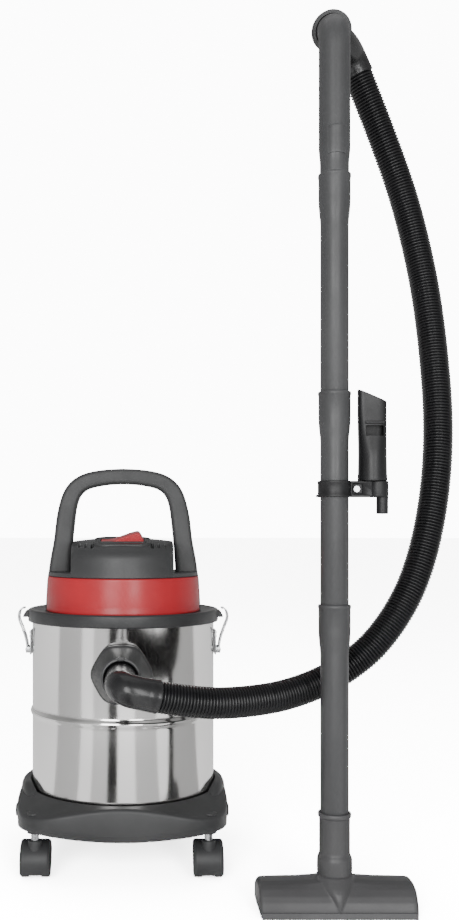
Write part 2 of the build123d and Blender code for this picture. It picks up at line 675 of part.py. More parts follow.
nozzle_side = Plane(origin=at_wand(0, 0, 0), x_dir=(0, 1, 0), z_dir=(1, 0, 0))
nozzle_outline = [
    (-nozzle_front, 4), (-nozzle_front, 10), (-30, 25), (-12, nozzle_tall),
    (14, nozzle_tall), (nozzle_back, 26), (nozzle_back, 4),
]
nozzle_hollow = [(-33, 0), (-33, 10), (-27, 23.5), (-10.5, 37), (12.5, 37), (31.5, 24), (31.5, 0)]
with BuildPart() as nozzle_body:
    with BuildSketch(nozzle_side):
        with BuildLine():
            Polyline(*nozzle_outline, close=True)
        make_face()
    extrude(amount=nozzle_wide / 2, both=True)
    with Locations(at_wand(0, 0, ball_z)):
        Sphere(ball_r + 4)
    with BuildSketch(nozzle_side):
        with BuildLine():
            Polyline(*nozzle_hollow, close=True)
        make_face()
    extrude(amount=nozzle_wide / 2 - 3.5, both=True, mode=Mode.SUBTRACT)
    with Locations(at_wand(0, 0, ball_z)):
        Sphere(ball_r + 3.4)
        Sphere(ball_r + 0.4, mode=Mode.SUBTRACT)
    with Locations(at_wand(0, 0, 0)):
        Box(60, 60, 14, align=on_base, mode=Mode.SUBTRACT)
    for lean in range(0, 41, 8):
        lean_back = Location(at_wand(0, 0, ball_z), (-lean, 0, 0))
        with Locations(lean_back * Location((0, 0, 8.5))):
            Cylinder(22.6, 60, align=on_base, mode=Mode.SUBTRACT)
    with Locations(at_wand(0, 6, 25)):
        Box(45.4, 60, 60, align=(Align.CENTER, Align.MIN, Align.MIN), mode=Mode.SUBTRACT)
    with Locations(Location(at_wand(0, 0, ball_z), (0, 90, 0))):
        Cylinder(2.5, 60, mode=Mode.SUBTRACT)
nozzle_body.part.label = "nozzle_body"
export_step(nozzle_body.part, "parts/nozzle_body.step")

with BuildPart() as nozzle_sole:
    with Locations(at_wand(0, -1, 0)):
        Box(nozzle_wide - 3, 68, 3.9, align=on_base)
        Box(164, 30, 3.9, align=on_base, mode=Mode.SUBTRACT)
    fillet(nozzle_sole.edges().filter_by(Axis.Z).sort_by(Axis.X)[:2], radius=4)
    fillet(nozzle_sole.edges().filter_by(Axis.Z).sort_by(Axis.X)[-2:], radius=4)
nozzle_sole.part.label = "nozzle_sole"
export_step(nozzle_sole.part, "parts/nozzle_sole.step")

with BuildPart() as nozzle_lips:
    for y in (-nozzle_front - 1.1, nozzle_back + 1.1):
        with Locations(at_wand(0, y, 0)):
            Box(nozzle_wide - 4, 2, 8, align=on_base)
nozzle_lips.part.label = "nozzle_lips"
export_step(nozzle_lips.part, "parts/nozzle_lips.step")

# ---------------------------------------------------------------- hose
# from the inlet elbow, low behind the wand, then up and over to the cuff on the bent grip
hose_route = [
    (-60.5, -171.5, 268.5), (-6.5, -157.7, 257.0), (55.0, -131.0, 254.5), (116.0, -106.0, 260.0),
    (182.0, -87.0, 283.0), (246.0, -78.0, 331.0), (304.0, -61.0, 425.0), (339.0, -34.0, 590.0),
    (326.5, -21.0, 782.0), (300.5, -21.0, 916.0), (270.5, -26.0, 1014.0), (235.5, -39.0, 1098.0),
]
cuff_r, cuff_bore = 21.8, 17.0


def unit(a, b):
    """Direction from one point to another."""
    return (Vector(*b) - Vector(*a)).normalized()


def corner_radii(route):
    """The largest arc that each corner's two runs allow, at 0.45 of the shorter run."""
    radii = []
    for before, here, after in zip(route, route[1:], route[2:]):
        shorter = min((Vector(*here) - Vector(*before)).length, (Vector(*after) - Vector(*here)).length)
        half_turn = radians(unit(before, here).get_angle(unit(here, after))) / 2
        radii.append(0.45 * shorter / tan(half_turn))
    return radii


hose_radii = corner_radii(hose_route)
print("hose radii", [round(radius) for radius in hose_radii])
with BuildLine() as hose_line:
    FilletPolyline(*hose_route, radius=hose_radii)
hose_wire = hose_line.wires()[0]
with BuildPart() as suction_hose:
    with BuildSketch(Plane(origin=hose_route[0], z_dir=unit(hose_route[0], hose_route[1]))):
        Circle(hose_r)
    sweep(path=hose_wire)
suction_hose.part.label = "suction_hose"
export_step(suction_hose.part, "parts/suction_hose.step")
full_volume = pi * hose_r**2 * hose_wire.length
print("hose length", round(hose_wire.length), "volume ratio", suction_hose.part.volume / full_volume)

# the elbow leaves the inlet forwards and turns into the hose's first run
first_run = unit(hose_route[0], hose_route[1])
elbow_corner = Vector(*hose_route[0]) - first_run * ((hose_route[0][0] - drum_x) / first_run.X)
elbow_start = at_drum(0, -167, inlet_z)
with BuildLine() as elbow_line:
    FilletPolyline(elbow_start, elbow_corner, hose_route[0], radius=34)
with BuildPart() as hose_inlet_elbow:
    with BuildSketch(Plane(origin=elbow_start, z_dir=unit(elbow_start, tuple(elbow_corner)))):
        Circle(cuff_r)
        Circle(cuff_bore, mode=Mode.SUBTRACT)
    sweep(path=elbow_line.wires()[0])
hose_inlet_elbow.part.label = "hose_inlet_elbow"
export_step(hose_inlet_elbow.part, "parts/hose_inlet_elbow.step")

# the cuff leaves the grip's collar backwards, turns to the right and comes down into the hose
cuff_start = grip_end + grip_back * 2.1
last_run = unit(hose_route[-2], hose_route[-1])
hose_end = Vector(*hose_route[-1])
cuff_points = [cuff_start, cuff_start + grip_back * 43, hose_end + last_run * 61, hose_end]
with BuildLine() as cuff_line:
    FilletPolyline(*cuff_points, radius=36)
with BuildPart() as hose_grip_cuff:
    with BuildSketch(Plane(origin=cuff_start, z_dir=grip_back)):
        Circle(cuff_r)
        Circle(cuff_bore, mode=Mode.SUBTRACT)
    sweep(path=cuff_line.wires()[0])
hose_grip_cuff.part.label = "hose_grip_cuff"
export_step(hose_grip_cuff.part, "parts/hose_grip_cuff.step")
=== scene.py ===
"""Wet and dry drum vacuum cleaner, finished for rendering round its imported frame. Metres throughout."""

from math import cos, pi, radians, sin, sqrt

import bmesh
import bpy
from mathutils import Matrix, Vector


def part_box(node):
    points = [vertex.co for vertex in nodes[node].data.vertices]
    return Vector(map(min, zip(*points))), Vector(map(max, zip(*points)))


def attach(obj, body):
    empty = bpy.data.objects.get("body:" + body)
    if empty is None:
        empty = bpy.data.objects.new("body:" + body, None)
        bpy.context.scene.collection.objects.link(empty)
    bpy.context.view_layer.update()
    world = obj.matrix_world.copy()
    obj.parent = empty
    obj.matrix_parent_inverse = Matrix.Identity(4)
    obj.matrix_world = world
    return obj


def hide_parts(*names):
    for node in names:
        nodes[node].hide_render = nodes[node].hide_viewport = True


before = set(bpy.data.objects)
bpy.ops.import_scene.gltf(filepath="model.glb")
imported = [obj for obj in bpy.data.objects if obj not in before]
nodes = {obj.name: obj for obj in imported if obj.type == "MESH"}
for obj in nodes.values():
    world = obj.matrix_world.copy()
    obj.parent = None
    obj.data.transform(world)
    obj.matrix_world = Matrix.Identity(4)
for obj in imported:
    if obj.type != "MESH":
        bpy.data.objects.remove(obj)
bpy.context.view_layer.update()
mm = 0.001


def middle(node):
    """Centre of a node's box at rest."""
    low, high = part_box(node)
    return (Vector(low) + Vector(high)) / 2


drum_x, drum_y = middle("drum").x, middle("lid_seal").y
wand_x, wand_y = middle("wand_tube_upper").x, middle("wand_tube_upper").y

# ------------------------------------------------------------------ camera
lens = bpy.data.cameras.new("camera")
lens.lens = 39.13
lens.sensor_width = 36
lens.shift_x = 0.0973
lens.shift_y = 0.0761
camera = bpy.data.objects.new("camera", lens)
camera.location = (-0.0828, -1.4315, 0.4785)
camera.rotation_euler = (radians(90), 0, 0)
bpy.context.scene.collection.objects.link(camera)
bpy.context.scene.camera = camera


# ------------------------------------------------------------------ modelling helpers
def pick(obj):
    """Makes obj the only selected and active object."""
    bpy.ops.object.select_all(action="DESELECT")
    obj.select_set(True)
    bpy.context.view_layer.objects.active = obj


def shade(obj, angle=32):
    """Smooth shading, with edges sharper than the angle kept crisp."""
    pick(obj)
    bpy.ops.object.shade_smooth_by_angle(angle=radians(angle))


def apply_all(obj):
    """Applies every modifier on obj, in order."""
    pick(obj)
    for modifier in list(obj.modifiers):
        bpy.ops.object.modifier_apply(modifier=modifier.name)


def rounded(obj, width, segments=3, angle=32):
    """Rounds the sharp edges of obj."""
    bevel = obj.modifiers.new("edge", "BEVEL")
    bevel.width = width
    bevel.segments = segments
    bevel.limit_method = "ANGLE"
    bevel.angle_limit = radians(angle)
    apply_all(obj)
    shade(obj, 40)


def place(obj):
    """Puts the object's place into its mesh."""
    pick(obj)
    bpy.ops.object.transform_apply(location=True, rotation=True, scale=True)


def block(name, centre, size, edge=0.0, turn=(0, 0, 0)):
    """A box of that size, turned and then rounded along its edges."""
    bpy.ops.object.select_all(action="DESELECT")
    bpy.ops.mesh.primitive_cube_add(size=1, location=centre, rotation=turn, scale=size)
    obj = bpy.context.active_object
    obj.name = name
    place(obj)
    if edge:
        rounded(obj, edge)
    return obj


def rod(name, a, b, radius, vertices=48, edge=0.0):
    """A straight round bar from a to b."""
    a, b = Vector(a), Vector(b)
    along = b - a
    bpy.ops.object.select_all(action="DESELECT")
    turn = along.to_track_quat("Z", "Y").to_euler()
    bpy.ops.mesh.primitive_cylinder_add(vertices=vertices, radius=radius, depth=along.length,
        location=(a + b) / 2, rotation=turn)
    obj = bpy.context.active_object
    obj.name = name
    place(obj)
    if edge:
        rounded(obj, edge)
    shade(obj)
    return obj


def joined(name, pieces):
    """Several meshes made one piece."""
    bpy.ops.object.select_all(action="DESELECT")
    for piece in pieces:
        piece.select_set(True)
    bpy.context.view_layer.objects.active = pieces[0]
    bpy.ops.object.join()
    obj = bpy.context.active_object
    obj.name = name
    return obj


def turned(name, profile, centre, segments=96, along="Z", smooth=32):
    """A closed profile of (radius, height) points, spun round an axis through centre."""
    bpy.ops.object.select_all(action="DESELECT")
    bpy.ops.mesh.primitive_plane_add(size=1, location=(0, 0, 0))
    obj = bpy.context.active_object
    obj.name = name
    shell = bmesh.new()
    corners = [shell.verts.new((radius, 0, height)) for radius, height in profile]
    for a, b in zip(corners, corners[1:]):
        shell.edges.new((a, b))
    shell.to_mesh(obj.data)
    shell.free()
    bpy.ops.object.mode_set(mode="EDIT")
    bpy.ops.mesh.select_all(action="SELECT")
    bpy.ops.mesh.spin(steps=segments, angle=2 * pi, center=(0, 0, 0), axis=(0, 0, 1))
    bpy.ops.mesh.select_all(action="SELECT")
    bpy.ops.mesh.remove_doubles(threshold=1e-6)
    bpy.ops.mesh.dissolve_degenerate(threshold=1e-7)
    bpy.ops.mesh.normals_make_consistent(inside=False)
    bpy.ops.object.mode_set(mode="OBJECT")
    if along == "X":
        obj.data.transform(Matrix.Rotation(radians(90), 4, "Y"))
    if along == "Y":
        obj.data.transform(Matrix.Rotation(radians(90), 4, "X"))
    obj.data.transform(Matrix.Translation(centre))
    shade(obj, smooth)
    return obj


def arc(centre, radius, start, end, steps=6):
    """Points of a round corner in a profile, from one angle to another in degrees."""
    turns = [radians(start + (end - start) * i / steps) for i in range(steps + 1)]
    return [(centre[0] + radius * cos(t), centre[1] + radius * sin(t)) for t in turns]


def skinned(name, rings, closed=False, caps=True, smooth=40):
    """A skin over rings of points that all have the same count, capped or joined end to end."""
    count = len(rings[0])
    points = [point for ring in rings for point in ring]
    faces = []
    spans = len(rings) if closed else len(rings) - 1
    for i in range(spans):
        here, there = i * count, ((i + 1) % len(rings)) * count
        for k in range(count):
            after = (k + 1) % count
            faces.append((here + k, here + after, there + after, there + k))
    if caps and not closed:
        faces.append(tuple(reversed(range(count))))
        faces.append(tuple(range((len(rings) - 1) * count, len(rings) * count)))
    mesh = bpy.data.meshes.new(name)
    mesh.from_pydata(points, [], faces)
    obj = bpy.data.objects.new(name, mesh)
    bpy.context.scene.collection.objects.link(obj)
    pick(obj)
    bpy.ops.object.mode_set(mode="EDIT")
    bpy.ops.mesh.select_all(action="SELECT")
    bpy.ops.mesh.normals_make_consistent(inside=False)
    bpy.ops.object.mode_set(mode="OBJECT")
    shade(obj, smooth)
    return obj


def smooth_line(name, points, steps=24):
    """Points read along the smooth curve that a route's control points give."""
    curve = bpy.data.curves.new(name, "CURVE")
    curve.dimensions = "3D"
    curve.resolution_u = steps
    spline = curve.splines.new("NURBS")
    spline.points.add(len(points) - 1)
    for control, point in zip(spline.points, points):
        control.co = (*point, 1)
    spline.order_u = 3
    spline.use_endpoint_u = True
    guide = bpy.data.objects.new(name, curve)
    bpy.context.scene.collection.objects.link(guide)
    bpy.context.view_layer.update()
    mesh = bpy.data.meshes.new_from_object(guide.evaluated_get(bpy.context.evaluated_depsgraph_get()))
    line = [vertex.co.copy() for vertex in mesh.vertices]
    bpy.data.objects.remove(guide)
    bpy.data.meshes.remove(mesh)
    return line


def length_of(line):
    return sum((b - a).length for a, b in zip(line, line[1:]))


def stations(line, gap):
    """Even steps along a line: (place, direction, side, up) with no twist, and the distance gone."""
    total = length_of(line)
    count = max(2, round(total / gap))
    marks = []
    gone, i = 0.0, 0
    for step in range(count + 1):
        goal = total * step / count
        while i < len(line) - 2 and gone + (line[i + 1] - line[i]).length < goal:
            gone += (line[i + 1] - line[i]).length
            i += 1
        piece = line[i + 1] - line[i]
        share = min(1.0, max(0.0, (goal - gone) / piece.length))
        marks.append((line[i] + piece * share, goal))
    out = []
    side = None
    for k, (place_here, goal) in enumerate(marks):
        before = marks[max(0, k - 1)][0]
        after = marks[min(len(marks) - 1, k + 1)][0]
        ahead = (after - before).normalized()
        if side is None:
            side = ahead.cross(Vector((0, 0, 1)))
            if side.length < 0.2:
                side = Vector((1, 0, 0))
        side = (side - ahead * side.dot(ahead)).normalized()
        out.append((place_here, ahead, side, ahead.cross(side), goal))
    return out


def sleeve(name, line, gap, radius_at, segments=40, wall=0.0):
    """A round skin along a line. radius_at gives the radius for a distance gone; a wall makes it a tube."""
    steps = stations(line, gap)
    turns = [2 * pi * k / segments for k in range(segments)]

    def ring(station, inset):
        centre, _, side, up, gone = station
        r = radius_at(gone) - inset
        return [centre + (side * cos(a) + up * sin(a)) * r for a in turns]

    rings = [ring(station, 0) for station in steps]
    if wall:
        rings += [ring(station, wall) for station in reversed(steps)]
    return skinned(name, rings, closed=bool(wall))


# ------------------------------------------------------------------ hose
hose_route = [
    (-0.0605, -0.1715, 0.2685), (-0.0065, -0.1577, 0.2570), (0.0550, -0.1310, 0.2545),
    (0.1160, -0.1060, 0.2600), (0.1820, -0.0870, 0.2830), (0.2460, -0.0780, 0.3310),
    (0.3040, -0.0610, 0.4250), (0.3390, -0.0320, 0.5900), (0.3345, 0.0050, 0.7880),
    (0.3105, 0.0200, 0.9275), (0.2760, 0.0180, 1.0310), (0.2300, 0.0020, 1.1300),
]
hose_radius, hose_groove, hose_pitch = 20.5 * mm, 1.9 * mm, 4.3 * mm
hose_line = smooth_line("hose_line", hose_route)
hose_length = length_of(hose_line)
rib_steps = 6  # rings per rib


def rib_radius(gone):
    """Crest and groove of the hose's ribs, with flat crests."""
    wave = 0.5 + 0.5 * cos(2 * pi * gone / hose_pitch)
    return hose_radius - hose_groove * (1 - wave) ** 1.6


rib_count = round(hose_length / hose_pitch)
hose_pitch = hose_length / rib_count
hose = sleeve("ribbed_hose", hose_line, hose_length / (rib_count * rib_steps), rib_radius, segments=36)

cuff_radius = 21.2 * mm
first_run = (Vector(hose_route[1]) - Vector(hose_route[0])).normalized()
last_run = (Vector(hose_route[-1]) - Vector(hose_route[-2])).normalized()


def cuff_shape(total, hose_end_first):
    """Radius along a smooth cuff: a bead at the hose's end, a slow taper, and a plain other end."""
    def radius(gone):
        from_hose = gone if hose_end_first else total - gone
        r = cuff_radius - 0.6 * mm * min(1, from_hose / total)
        if from_hose < 4 * mm:
            r += 0.5 * mm
        elif from_hose < 14 * mm:
            r += 0.2 * mm
        return r
    return radius


inlet_low, inlet_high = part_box("inlet_flange")
inlet_z = (inlet_low[2] + inlet_high[2]) / 2
elbow_corner = Vector(hose_route[0]) - first_run * ((hose_route[0][0] - drum_x) / first_run.x)
elbow_line = smooth_line("elbow_line", [
    (drum_x, drum_y - 0.160, inlet_z), (drum_x, drum_y - 0.196, inlet_z),
    elbow_corner + Vector((0.001, 0.012, 0.002)),
    elbow_corner + first_run * 0.016, hose_route[0],
])
elbow = sleeve("inlet_elbow", elbow_line, 2 * mm, cuff_shape(length_of(elbow_line), False), segments=56,
    wall=2.5 * mm)

grip_turn, grip_aside = radians(65), radians(6.2)
grip_back = Vector((sin(grip_turn) * sin(grip_aside), sin(grip_turn) * cos(grip_aside), cos(grip_turn)))
bend_point = Vector((wand_x, wand_y, 1.111))
grip_end = bend_point + grip_back * 0.062
cuff_start = grip_end + grip_back * 0.0015
cuff_bend = cuff_start + grip_back * 0.078 + Vector((0.024, 0.004, -0.014))
cuff_line = smooth_line("cuff_line", [
    cuff_start, cuff_start + grip_back * 0.045, cuff_bend,
    Vector(hose_route[-1]) + last_run * 0.026, hose_route[-1],
])
cuff = sleeve("grip_cuff", cuff_line, 2 * mm, cuff_shape(length_of(cuff_line), False), segments=56,
    wall=2.5 * mm)

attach(hose, "trolley")
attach(elbow, "trolley")
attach(cuff, "trolley")
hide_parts("suction_hose")
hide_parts("hose_inlet_elbow")
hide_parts("hose_grip_cuff")

# ------------------------------------------------------------------ trolley and castors
tray_reach, tray_power = 150 * mm, 4.5


def tray_edge(angle):
    """Radius of the trolley's rounded-square outline in that direction."""
    spread = abs(cos(angle)) ** tray_power + abs(sin(angle)) ** tray_power
    return tray_reach / spread ** (1 / tray_power)


def drum_point(radius, angle, height):
    return Vector((drum_x + radius * cos(angle), drum_y + radius * sin(angle), height))


def make_trolley():
    """Tray, skirt, drum posts, castor bosses and side studs in one moulding."""
    angles = [2 * pi * k / 192 for k in range(192)]
    corner_reach = tray_edge(pi / 4)

    def sag(angle):
        """0 at the middle of a side, 1 at a corner."""
        return (tray_edge(angle) - tray_reach) / (corner_reach - tray_reach)

    def ring(radius_at, height_at):
        return [drum_point(radius_at(a), a, height_at(a)) for a in angles]

    def top(angle):
        return (104.5 - 15.5 * sag(angle)) * mm

    def low(angle):
        return (59 + 9 * sag(angle)) * mm

    rings = [
        ring(lambda a: 40 * mm, lambda a: 99.8 * mm),
        ring(lambda a: 134.4 * mm, lambda a: 99.8 * mm),
        ring(lambda a: 135.2 * mm, lambda a: 104.2 * mm),
        ring(lambda a: 136.6 * mm, lambda a: 105.4 * mm),
        ring(lambda a: 138.8 * mm, lambda a: 104.8 * mm),
    ]
    for share in (0.25, 0.5, 0.75):
        rings.append(ring(
            lambda a, s=share: 138.8 * mm + (tray_edge(a) - 143.8 * mm) * s,
            lambda a, s=share: 104.8 * mm + (top(a) - 104.8 * mm) * s,
        ))
    rings += [
        ring(lambda a: tray_edge(a) - 5 * mm, top),
        ring(lambda a: tray_edge(a) - 2.4 * mm, lambda a: top(a) - 0.8 * mm),
        ring(lambda a: tray_edge(a) - 0.7 * mm, lambda a: top(a) - 2.6 * mm),
        ring(tray_edge, lambda a: top(a) - 5.5 * mm),
        ring(lambda a: tray_edge(a) - 0.5 * mm, lambda a: low(a) + 10 * mm),
        ring(lambda a: tray_edge(a) - 1.0 * mm, lambda a: low(a) + 1.2 * mm),
        ring(lambda a: tray_edge(a) - 2.0 * mm, low),
        ring(lambda a: tray_edge(a) - 3.6 * mm, low),
        ring(lambda a: tray_edge(a) - 4.2 * mm, lambda a: low(a) + 1 * mm),
        ring(lambda a: tray_edge(a) - 7 * mm, lambda a: 84 * mm),
        ring(lambda a: 128 * mm, lambda a: 95.5 * mm),
        ring(lambda a: 40 * mm, lambda a: 95.5 * mm),
    ]
    tray = skinned("tray", rings, smooth=38)

    parts = [tray]
    section = [
        (135.4, 92), (150.2, 92), (150.0, 101), (149.2, 107), (147.2, 111.4), (144.2, 113.8),
        (140.4, 114.8),
        (136.4, 114.2), (135.4, 112),
    ]
    for corner in (0, 180):
        rings = []
        for step in range(25):
            off = -30 + 60 * step / 24
            shrink = max(0.0, (abs(off) - 15) / 15)
            lift = 1 - 0.6 * shrink ** 1.6
            thick = 1 + 0.04 * shrink
            a = radians(corner + off)
            rings.append([
                drum_point((135.4 + (r - 135.4) * thick) * mm, a, (92 + (z - 92) * lift) * mm)
                for r, z in section
            ])
        parts.append(skinned("post", rings, smooth=38))
    for x in (-119, 119):
        for y in (-116, 116):
            spot = (drum_x + x * mm, drum_y + y * mm)
            parts.append(rod("boss", (*spot, 64 * mm), (*spot, 92 * mm), 11 * mm, edge=1 * mm))
    for side in (-1, 1):
        start = Vector((drum_x + side * 140 * mm, drum_y - 74 * mm, 84 * mm))
        parts.append(rod("stud", start, start + Vector((side * 10 * mm, 0, 0)), 9 * mm, edge=2 * mm))
    # stiffening ribs under the tray
    for turn in (0, 45, 90, 135):
        parts.append(block("rib", (drum_x, drum_y, 88 * mm), (2.4 * mm, 250 * mm, 16 * mm), 0.5 * mm,
            (0, 0, radians(turn))))
    return joined("trolley_moulding", parts)


def make_castor(corner):
    """Hood and the pair of wheels of one twin-wheel castor."""
    wheel_mid = middle(f"castor_axle_{corner}")
    stem_side = 1 if "front" in corner else -1
    stem_y = wheel_mid.y - stem_side * 12 * mm
    across = Vector((1, 0, 0))
    hood = rod("hood", wheel_mid - across * 20.5 * mm, wheel_mid + across * 20.5 * mm, 27.2 * mm, 72)
    rounded(hood, 4 * mm, 4)
    neck = rod("neck", (wheel_mid.x, stem_y, 34 * mm), (wheel_mid.x, stem_y, 54 * mm), 9.5 * mm,
        edge=1.5 * mm)
    cut(hood, block("below", (wheel_mid.x, wheel_mid.y, -2 * mm), (62 * mm, 88 * mm, 20 * mm)))
    behind = (wheel_mid.x, wheel_mid.y + stem_side * 23 * mm, 12 * mm)
    cut(hood, block("behind", behind, (60 * mm, 30 * mm, 26 * mm)))
    for shell in (hood, neck):
        for side in (-1, 1):
            wheel_room = [wheel_mid + across * side * reach * mm for reach in (7.1, 24)]
            cut(shell, rod("room", *wheel_room, 24.5 * mm, 72))
    hood = joined("hood", [hood, neck])
    shade(hood, 35)
    hood.name = f"castor_{corner}_hood"
    wheels = []
    for side in (-1, 1):
        profile = [(2.6, -6.0), (8, -6.0), (9, -4.8), (16.5, -4.8), (17.5, -6.0), (20.5, -6.0)]
        profile += arc((20.9, -3.4), 2.6, -90, -10, 4) + arc((20.9, 3.4), 2.6, 10, 90, 4)
        profile += [(17.5, 6.0), (16.5, 4.8), (9, 4.8), (8, 6.0), (2.6, 6.0), (2.6, -6.0)]
        spot = (wheel_mid.x + side * 14.1 * mm, wheel_mid.y, wheel_mid.z)
        wheels.append(turned("wheel", [(r * mm, h * mm) for r, h in profile], spot, 64, "X"))
    pair = joined(f"castor_{corner}_wheels", wheels)
    return hood, pair


def cut(obj, cutter):
    """Cuts the cutter's volume out of obj."""
    boolean = obj.modifiers.new("cut", "BOOLEAN")
    boolean.operation = "DIFFERENCE"
    boolean.solver = "EXACT"
    boolean.object = cutter
    apply_all(obj)
    bpy.data.objects.remove(cutter)


trolley = make_trolley()
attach(trolley, "trolley")
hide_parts("trolley_base")
castor_parts = {}
for corner in ("front_left", "front_right", "back_left", "back_right"):
    hood, pair = make_castor(corner)
    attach(hood, f"castor_{corner}")
    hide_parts(f"castor_hood_{corner}")
    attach(pair, f"wheels_{corner}")
    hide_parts(f"castor_wheels_{corner}")
    castor_parts[corner] = (hood, pair)

# ------------------------------------------------------------------ drum, inlet and latches
def make_drum():
    """Steel shell with a rounded foot, a rolled bead and a curled rim."""
    profile = [(0, 100), (60, 100)] + arc((125, 109), 9, -90, 0, 8)
    profile += [(134, 205), (134.0, 207.2), (134.5, 208.6), (135.7, 210.4), (136.6, 212.6), (136.8, 214)]
    profile += [(136.6, 215.4), (135.7, 217.6), (134.5, 219.4), (134.0, 220.8), (134, 223), (134, 346)]
    profile += [(134.6, 347.2), (134.8, 348.6), (134.2, 349.8), (133.2, 350), (132.4, 349.2), (132.4, 110)]
    profile += [(129.5, 104.2), (124, 101.6), (60, 101.6), (0, 101.6)]
    return turned("steel_drum", [(r * mm, z * mm) for r, z in profile], (drum_x, drum_y, 0), 200, smooth=50)


def make_flange():
    """Conical hose inlet on a rounded hexagon foot that follows the drum."""
    count = 96
    angles = [2 * pi * k / count for k in range(count)]

    def ring(radius, corner=0.0, proud=0.0, out=0.0, mouth_y=-172.0):
        """out runs from 0, where the ring lies proud of the drum, to 1, where it is flat at mouth_y."""
        points = []
        for a in angles:
            r = (radius + corner * cos(6 * a)) * mm
            x, z = r * cos(a), r * sin(a)
            on_drum = -sqrt((135.3 * mm) ** 2 - x * x) - proud * mm
            points.append((drum_x + x, drum_y + on_drum * (1 - out) + mouth_y * mm * out, inlet_z + z))
        return points

    rings = [ring(30), ring(40.2, 1.2), ring(40.9, 1.2, 0.7), ring(41, 1.2, 4.6), ring(40.5, 1.2, 6.0),
        ring(39.4, 1.1, 6.8)]
    rings += [ring(39.4 - 12.4 * t, 1.1 * (1 - t), 6.8, t) for t in (0.15, 0.3, 0.45, 0.6, 0.75, 0.9, 0.97)]
    rings += [
        ring(26.6, out=1, mouth_y=-173.4), ring(25.4, out=1, mouth_y=-174.1),
        ring(23.9, out=1, mouth_y=-174.0),
        ring(22.9, out=1), ring(22.6, out=1, mouth_y=-158), ring(12, out=1, mouth_y=-152),
    ]
    cone = skinned("cone", rings, smooth=35)
    key = block("key", (drum_x, drum_y - 171.5 * mm, inlet_z + 25.6 * mm), (9 * mm, 8 * mm, 5 * mm),
        1.2 * mm)
    return joined("hose_inlet", [cone, key])


def make_latch(side, way):
    """Bracket on the drum, lever, and the wire bail with its hook."""
    def at(u, y, z):
        return Vector((drum_x + way * u * mm, drum_y + y * mm, z * mm))

    bracket = [block("plate", at(136.1, 0, 313), (2.2 * mm, 30 * mm, 36 * mm), 0.9 * mm)]
    for y in (-12.5, 12.5):
        bracket.append(block("ear", at(139.8, y, 302), (7.4 * mm, 1.8 * mm, 9 * mm), 0.8 * mm))
    bracket.append(rod("pin", at(141.5, -13.6, 302), at(141.5, 13.6, 302), 1.5 * mm, 24, 0.4 * mm))
    for z in (322, 327.5):
        for y in (-10, 10):
            bracket.append(rod("rivet", at(136.6, y, z), at(138.2, y, z), 2.1 * mm, 24, 0.6 * mm))
    plate = joined(f"latch_{side}_bracket", bracket)

    lever = [rod("knuckle", at(141.5, -10.8, 302), at(141.5, 10.8, 302), 3.0 * mm, 32, 0.5 * mm)]
    rings = []
    for u, z, half, thick in ((141.5, 303, 7.4, 1.0), (142.6, 309, 7.6, 1.0), (143.8, 316, 7.2, 1.0),
        (145.2, 322, 6.6, 1.0), (147.4, 327, 6.0, 0.9), (149.6, 329.5, 5.2, 0.8)):
        rings.append([at(u - thick, -half, z), at(u - thick, half, z), at(u + thick, half, z),
            at(u + thick, -half, z)])
    tongue = skinned("tongue", rings)
    rounded(tongue, 0.45 * mm, 2)
    lever.append(tongue)
    handle = joined(f"latch_{side}_lever", lever)

    wires = []
    for y in (-9.4, 9.4):
        run = smooth_line("wire", [at(141.5, y, 303), at(143, y, 316), at(149, y, 334), at(154.8, y, 347),
            at(154.4, y, 357), at(151.5, y, 361)], 10)
        wires.append(sleeve("wire", run, 1.5 * mm, lambda gone: 1.25 * mm, 14))
    hook = [(154.6, 352.5), (154.4, 357.5), (152.6, 361.4), (149.6, 364), (146.6, 364.4), (145.2, 362.6)]
    inner = [(152.8, 352.5), (152.6, 356.6), (151.2, 359.8), (149.0, 362), (147.2, 362.3), (146.4, 361.4)]
    rings = [[at(u, y, z) for u, z in hook + inner[::-1]] for y in (-10.4, -9.6, 9.6, 10.4)]
    claw = skinned("claw", rings, smooth=50)
    rounded(claw, 0.4 * mm, 2, 50)
    bail = joined(f"latch_{side}_bail", wires + [claw])
    return plate, handle, bail


drum = make_drum()
inlet = make_flange()
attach(drum, "trolley")
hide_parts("drum")
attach(inlet, "trolley")
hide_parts("inlet_flange")
latch_parts = []
for side, way in (("left", -1), ("right", 1)):
    plate, handle, bail = make_latch(side, way)
    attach(plate, "trolley")
    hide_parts(f"latch_bracket_{side}")
    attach(handle, f"latch_{side}")
    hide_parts(f"latch_lever_{side}")
    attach(bail, f"latch_{side}")
    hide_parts(f"latch_bail_{side}")
    for piece in (plate, handle, bail):
        latch_parts.append(piece)

# ------------------------------------------------------------------ motor head
def through(points, steps=8):
    """Points of a smooth curve that passes through every point given."""
    ends = [points[0], *points, points[-1]]
    line = []
    for a, b, c, d in zip(ends, ends[1:], ends[2:], ends[3:]):
        for i in range(steps):
            t = i / steps
            line.append(tuple(
                0.5 * (2 * q + (r - p) * t + (2 * p - 5 * q + 4 * r - s) * t * t
                       + (3 * q - p - 3 * r + s) * t ** 3)
                for p, q, r, s in zip(a, b, c, d)
            ))
    return line + [points[-1]]


def ring_round(name, points, smooth=32, segments=160):
    """A profile in millimetres of radius and height, spun round the drum's axis."""
    return turned(name, [(r * mm, z * mm) for r, z in points], (drum_x, drum_y, 0), segments, smooth=smooth)


def from_drum(x, y, z):
    return (drum_x + x * mm, drum_y + y * mm, z * mm)


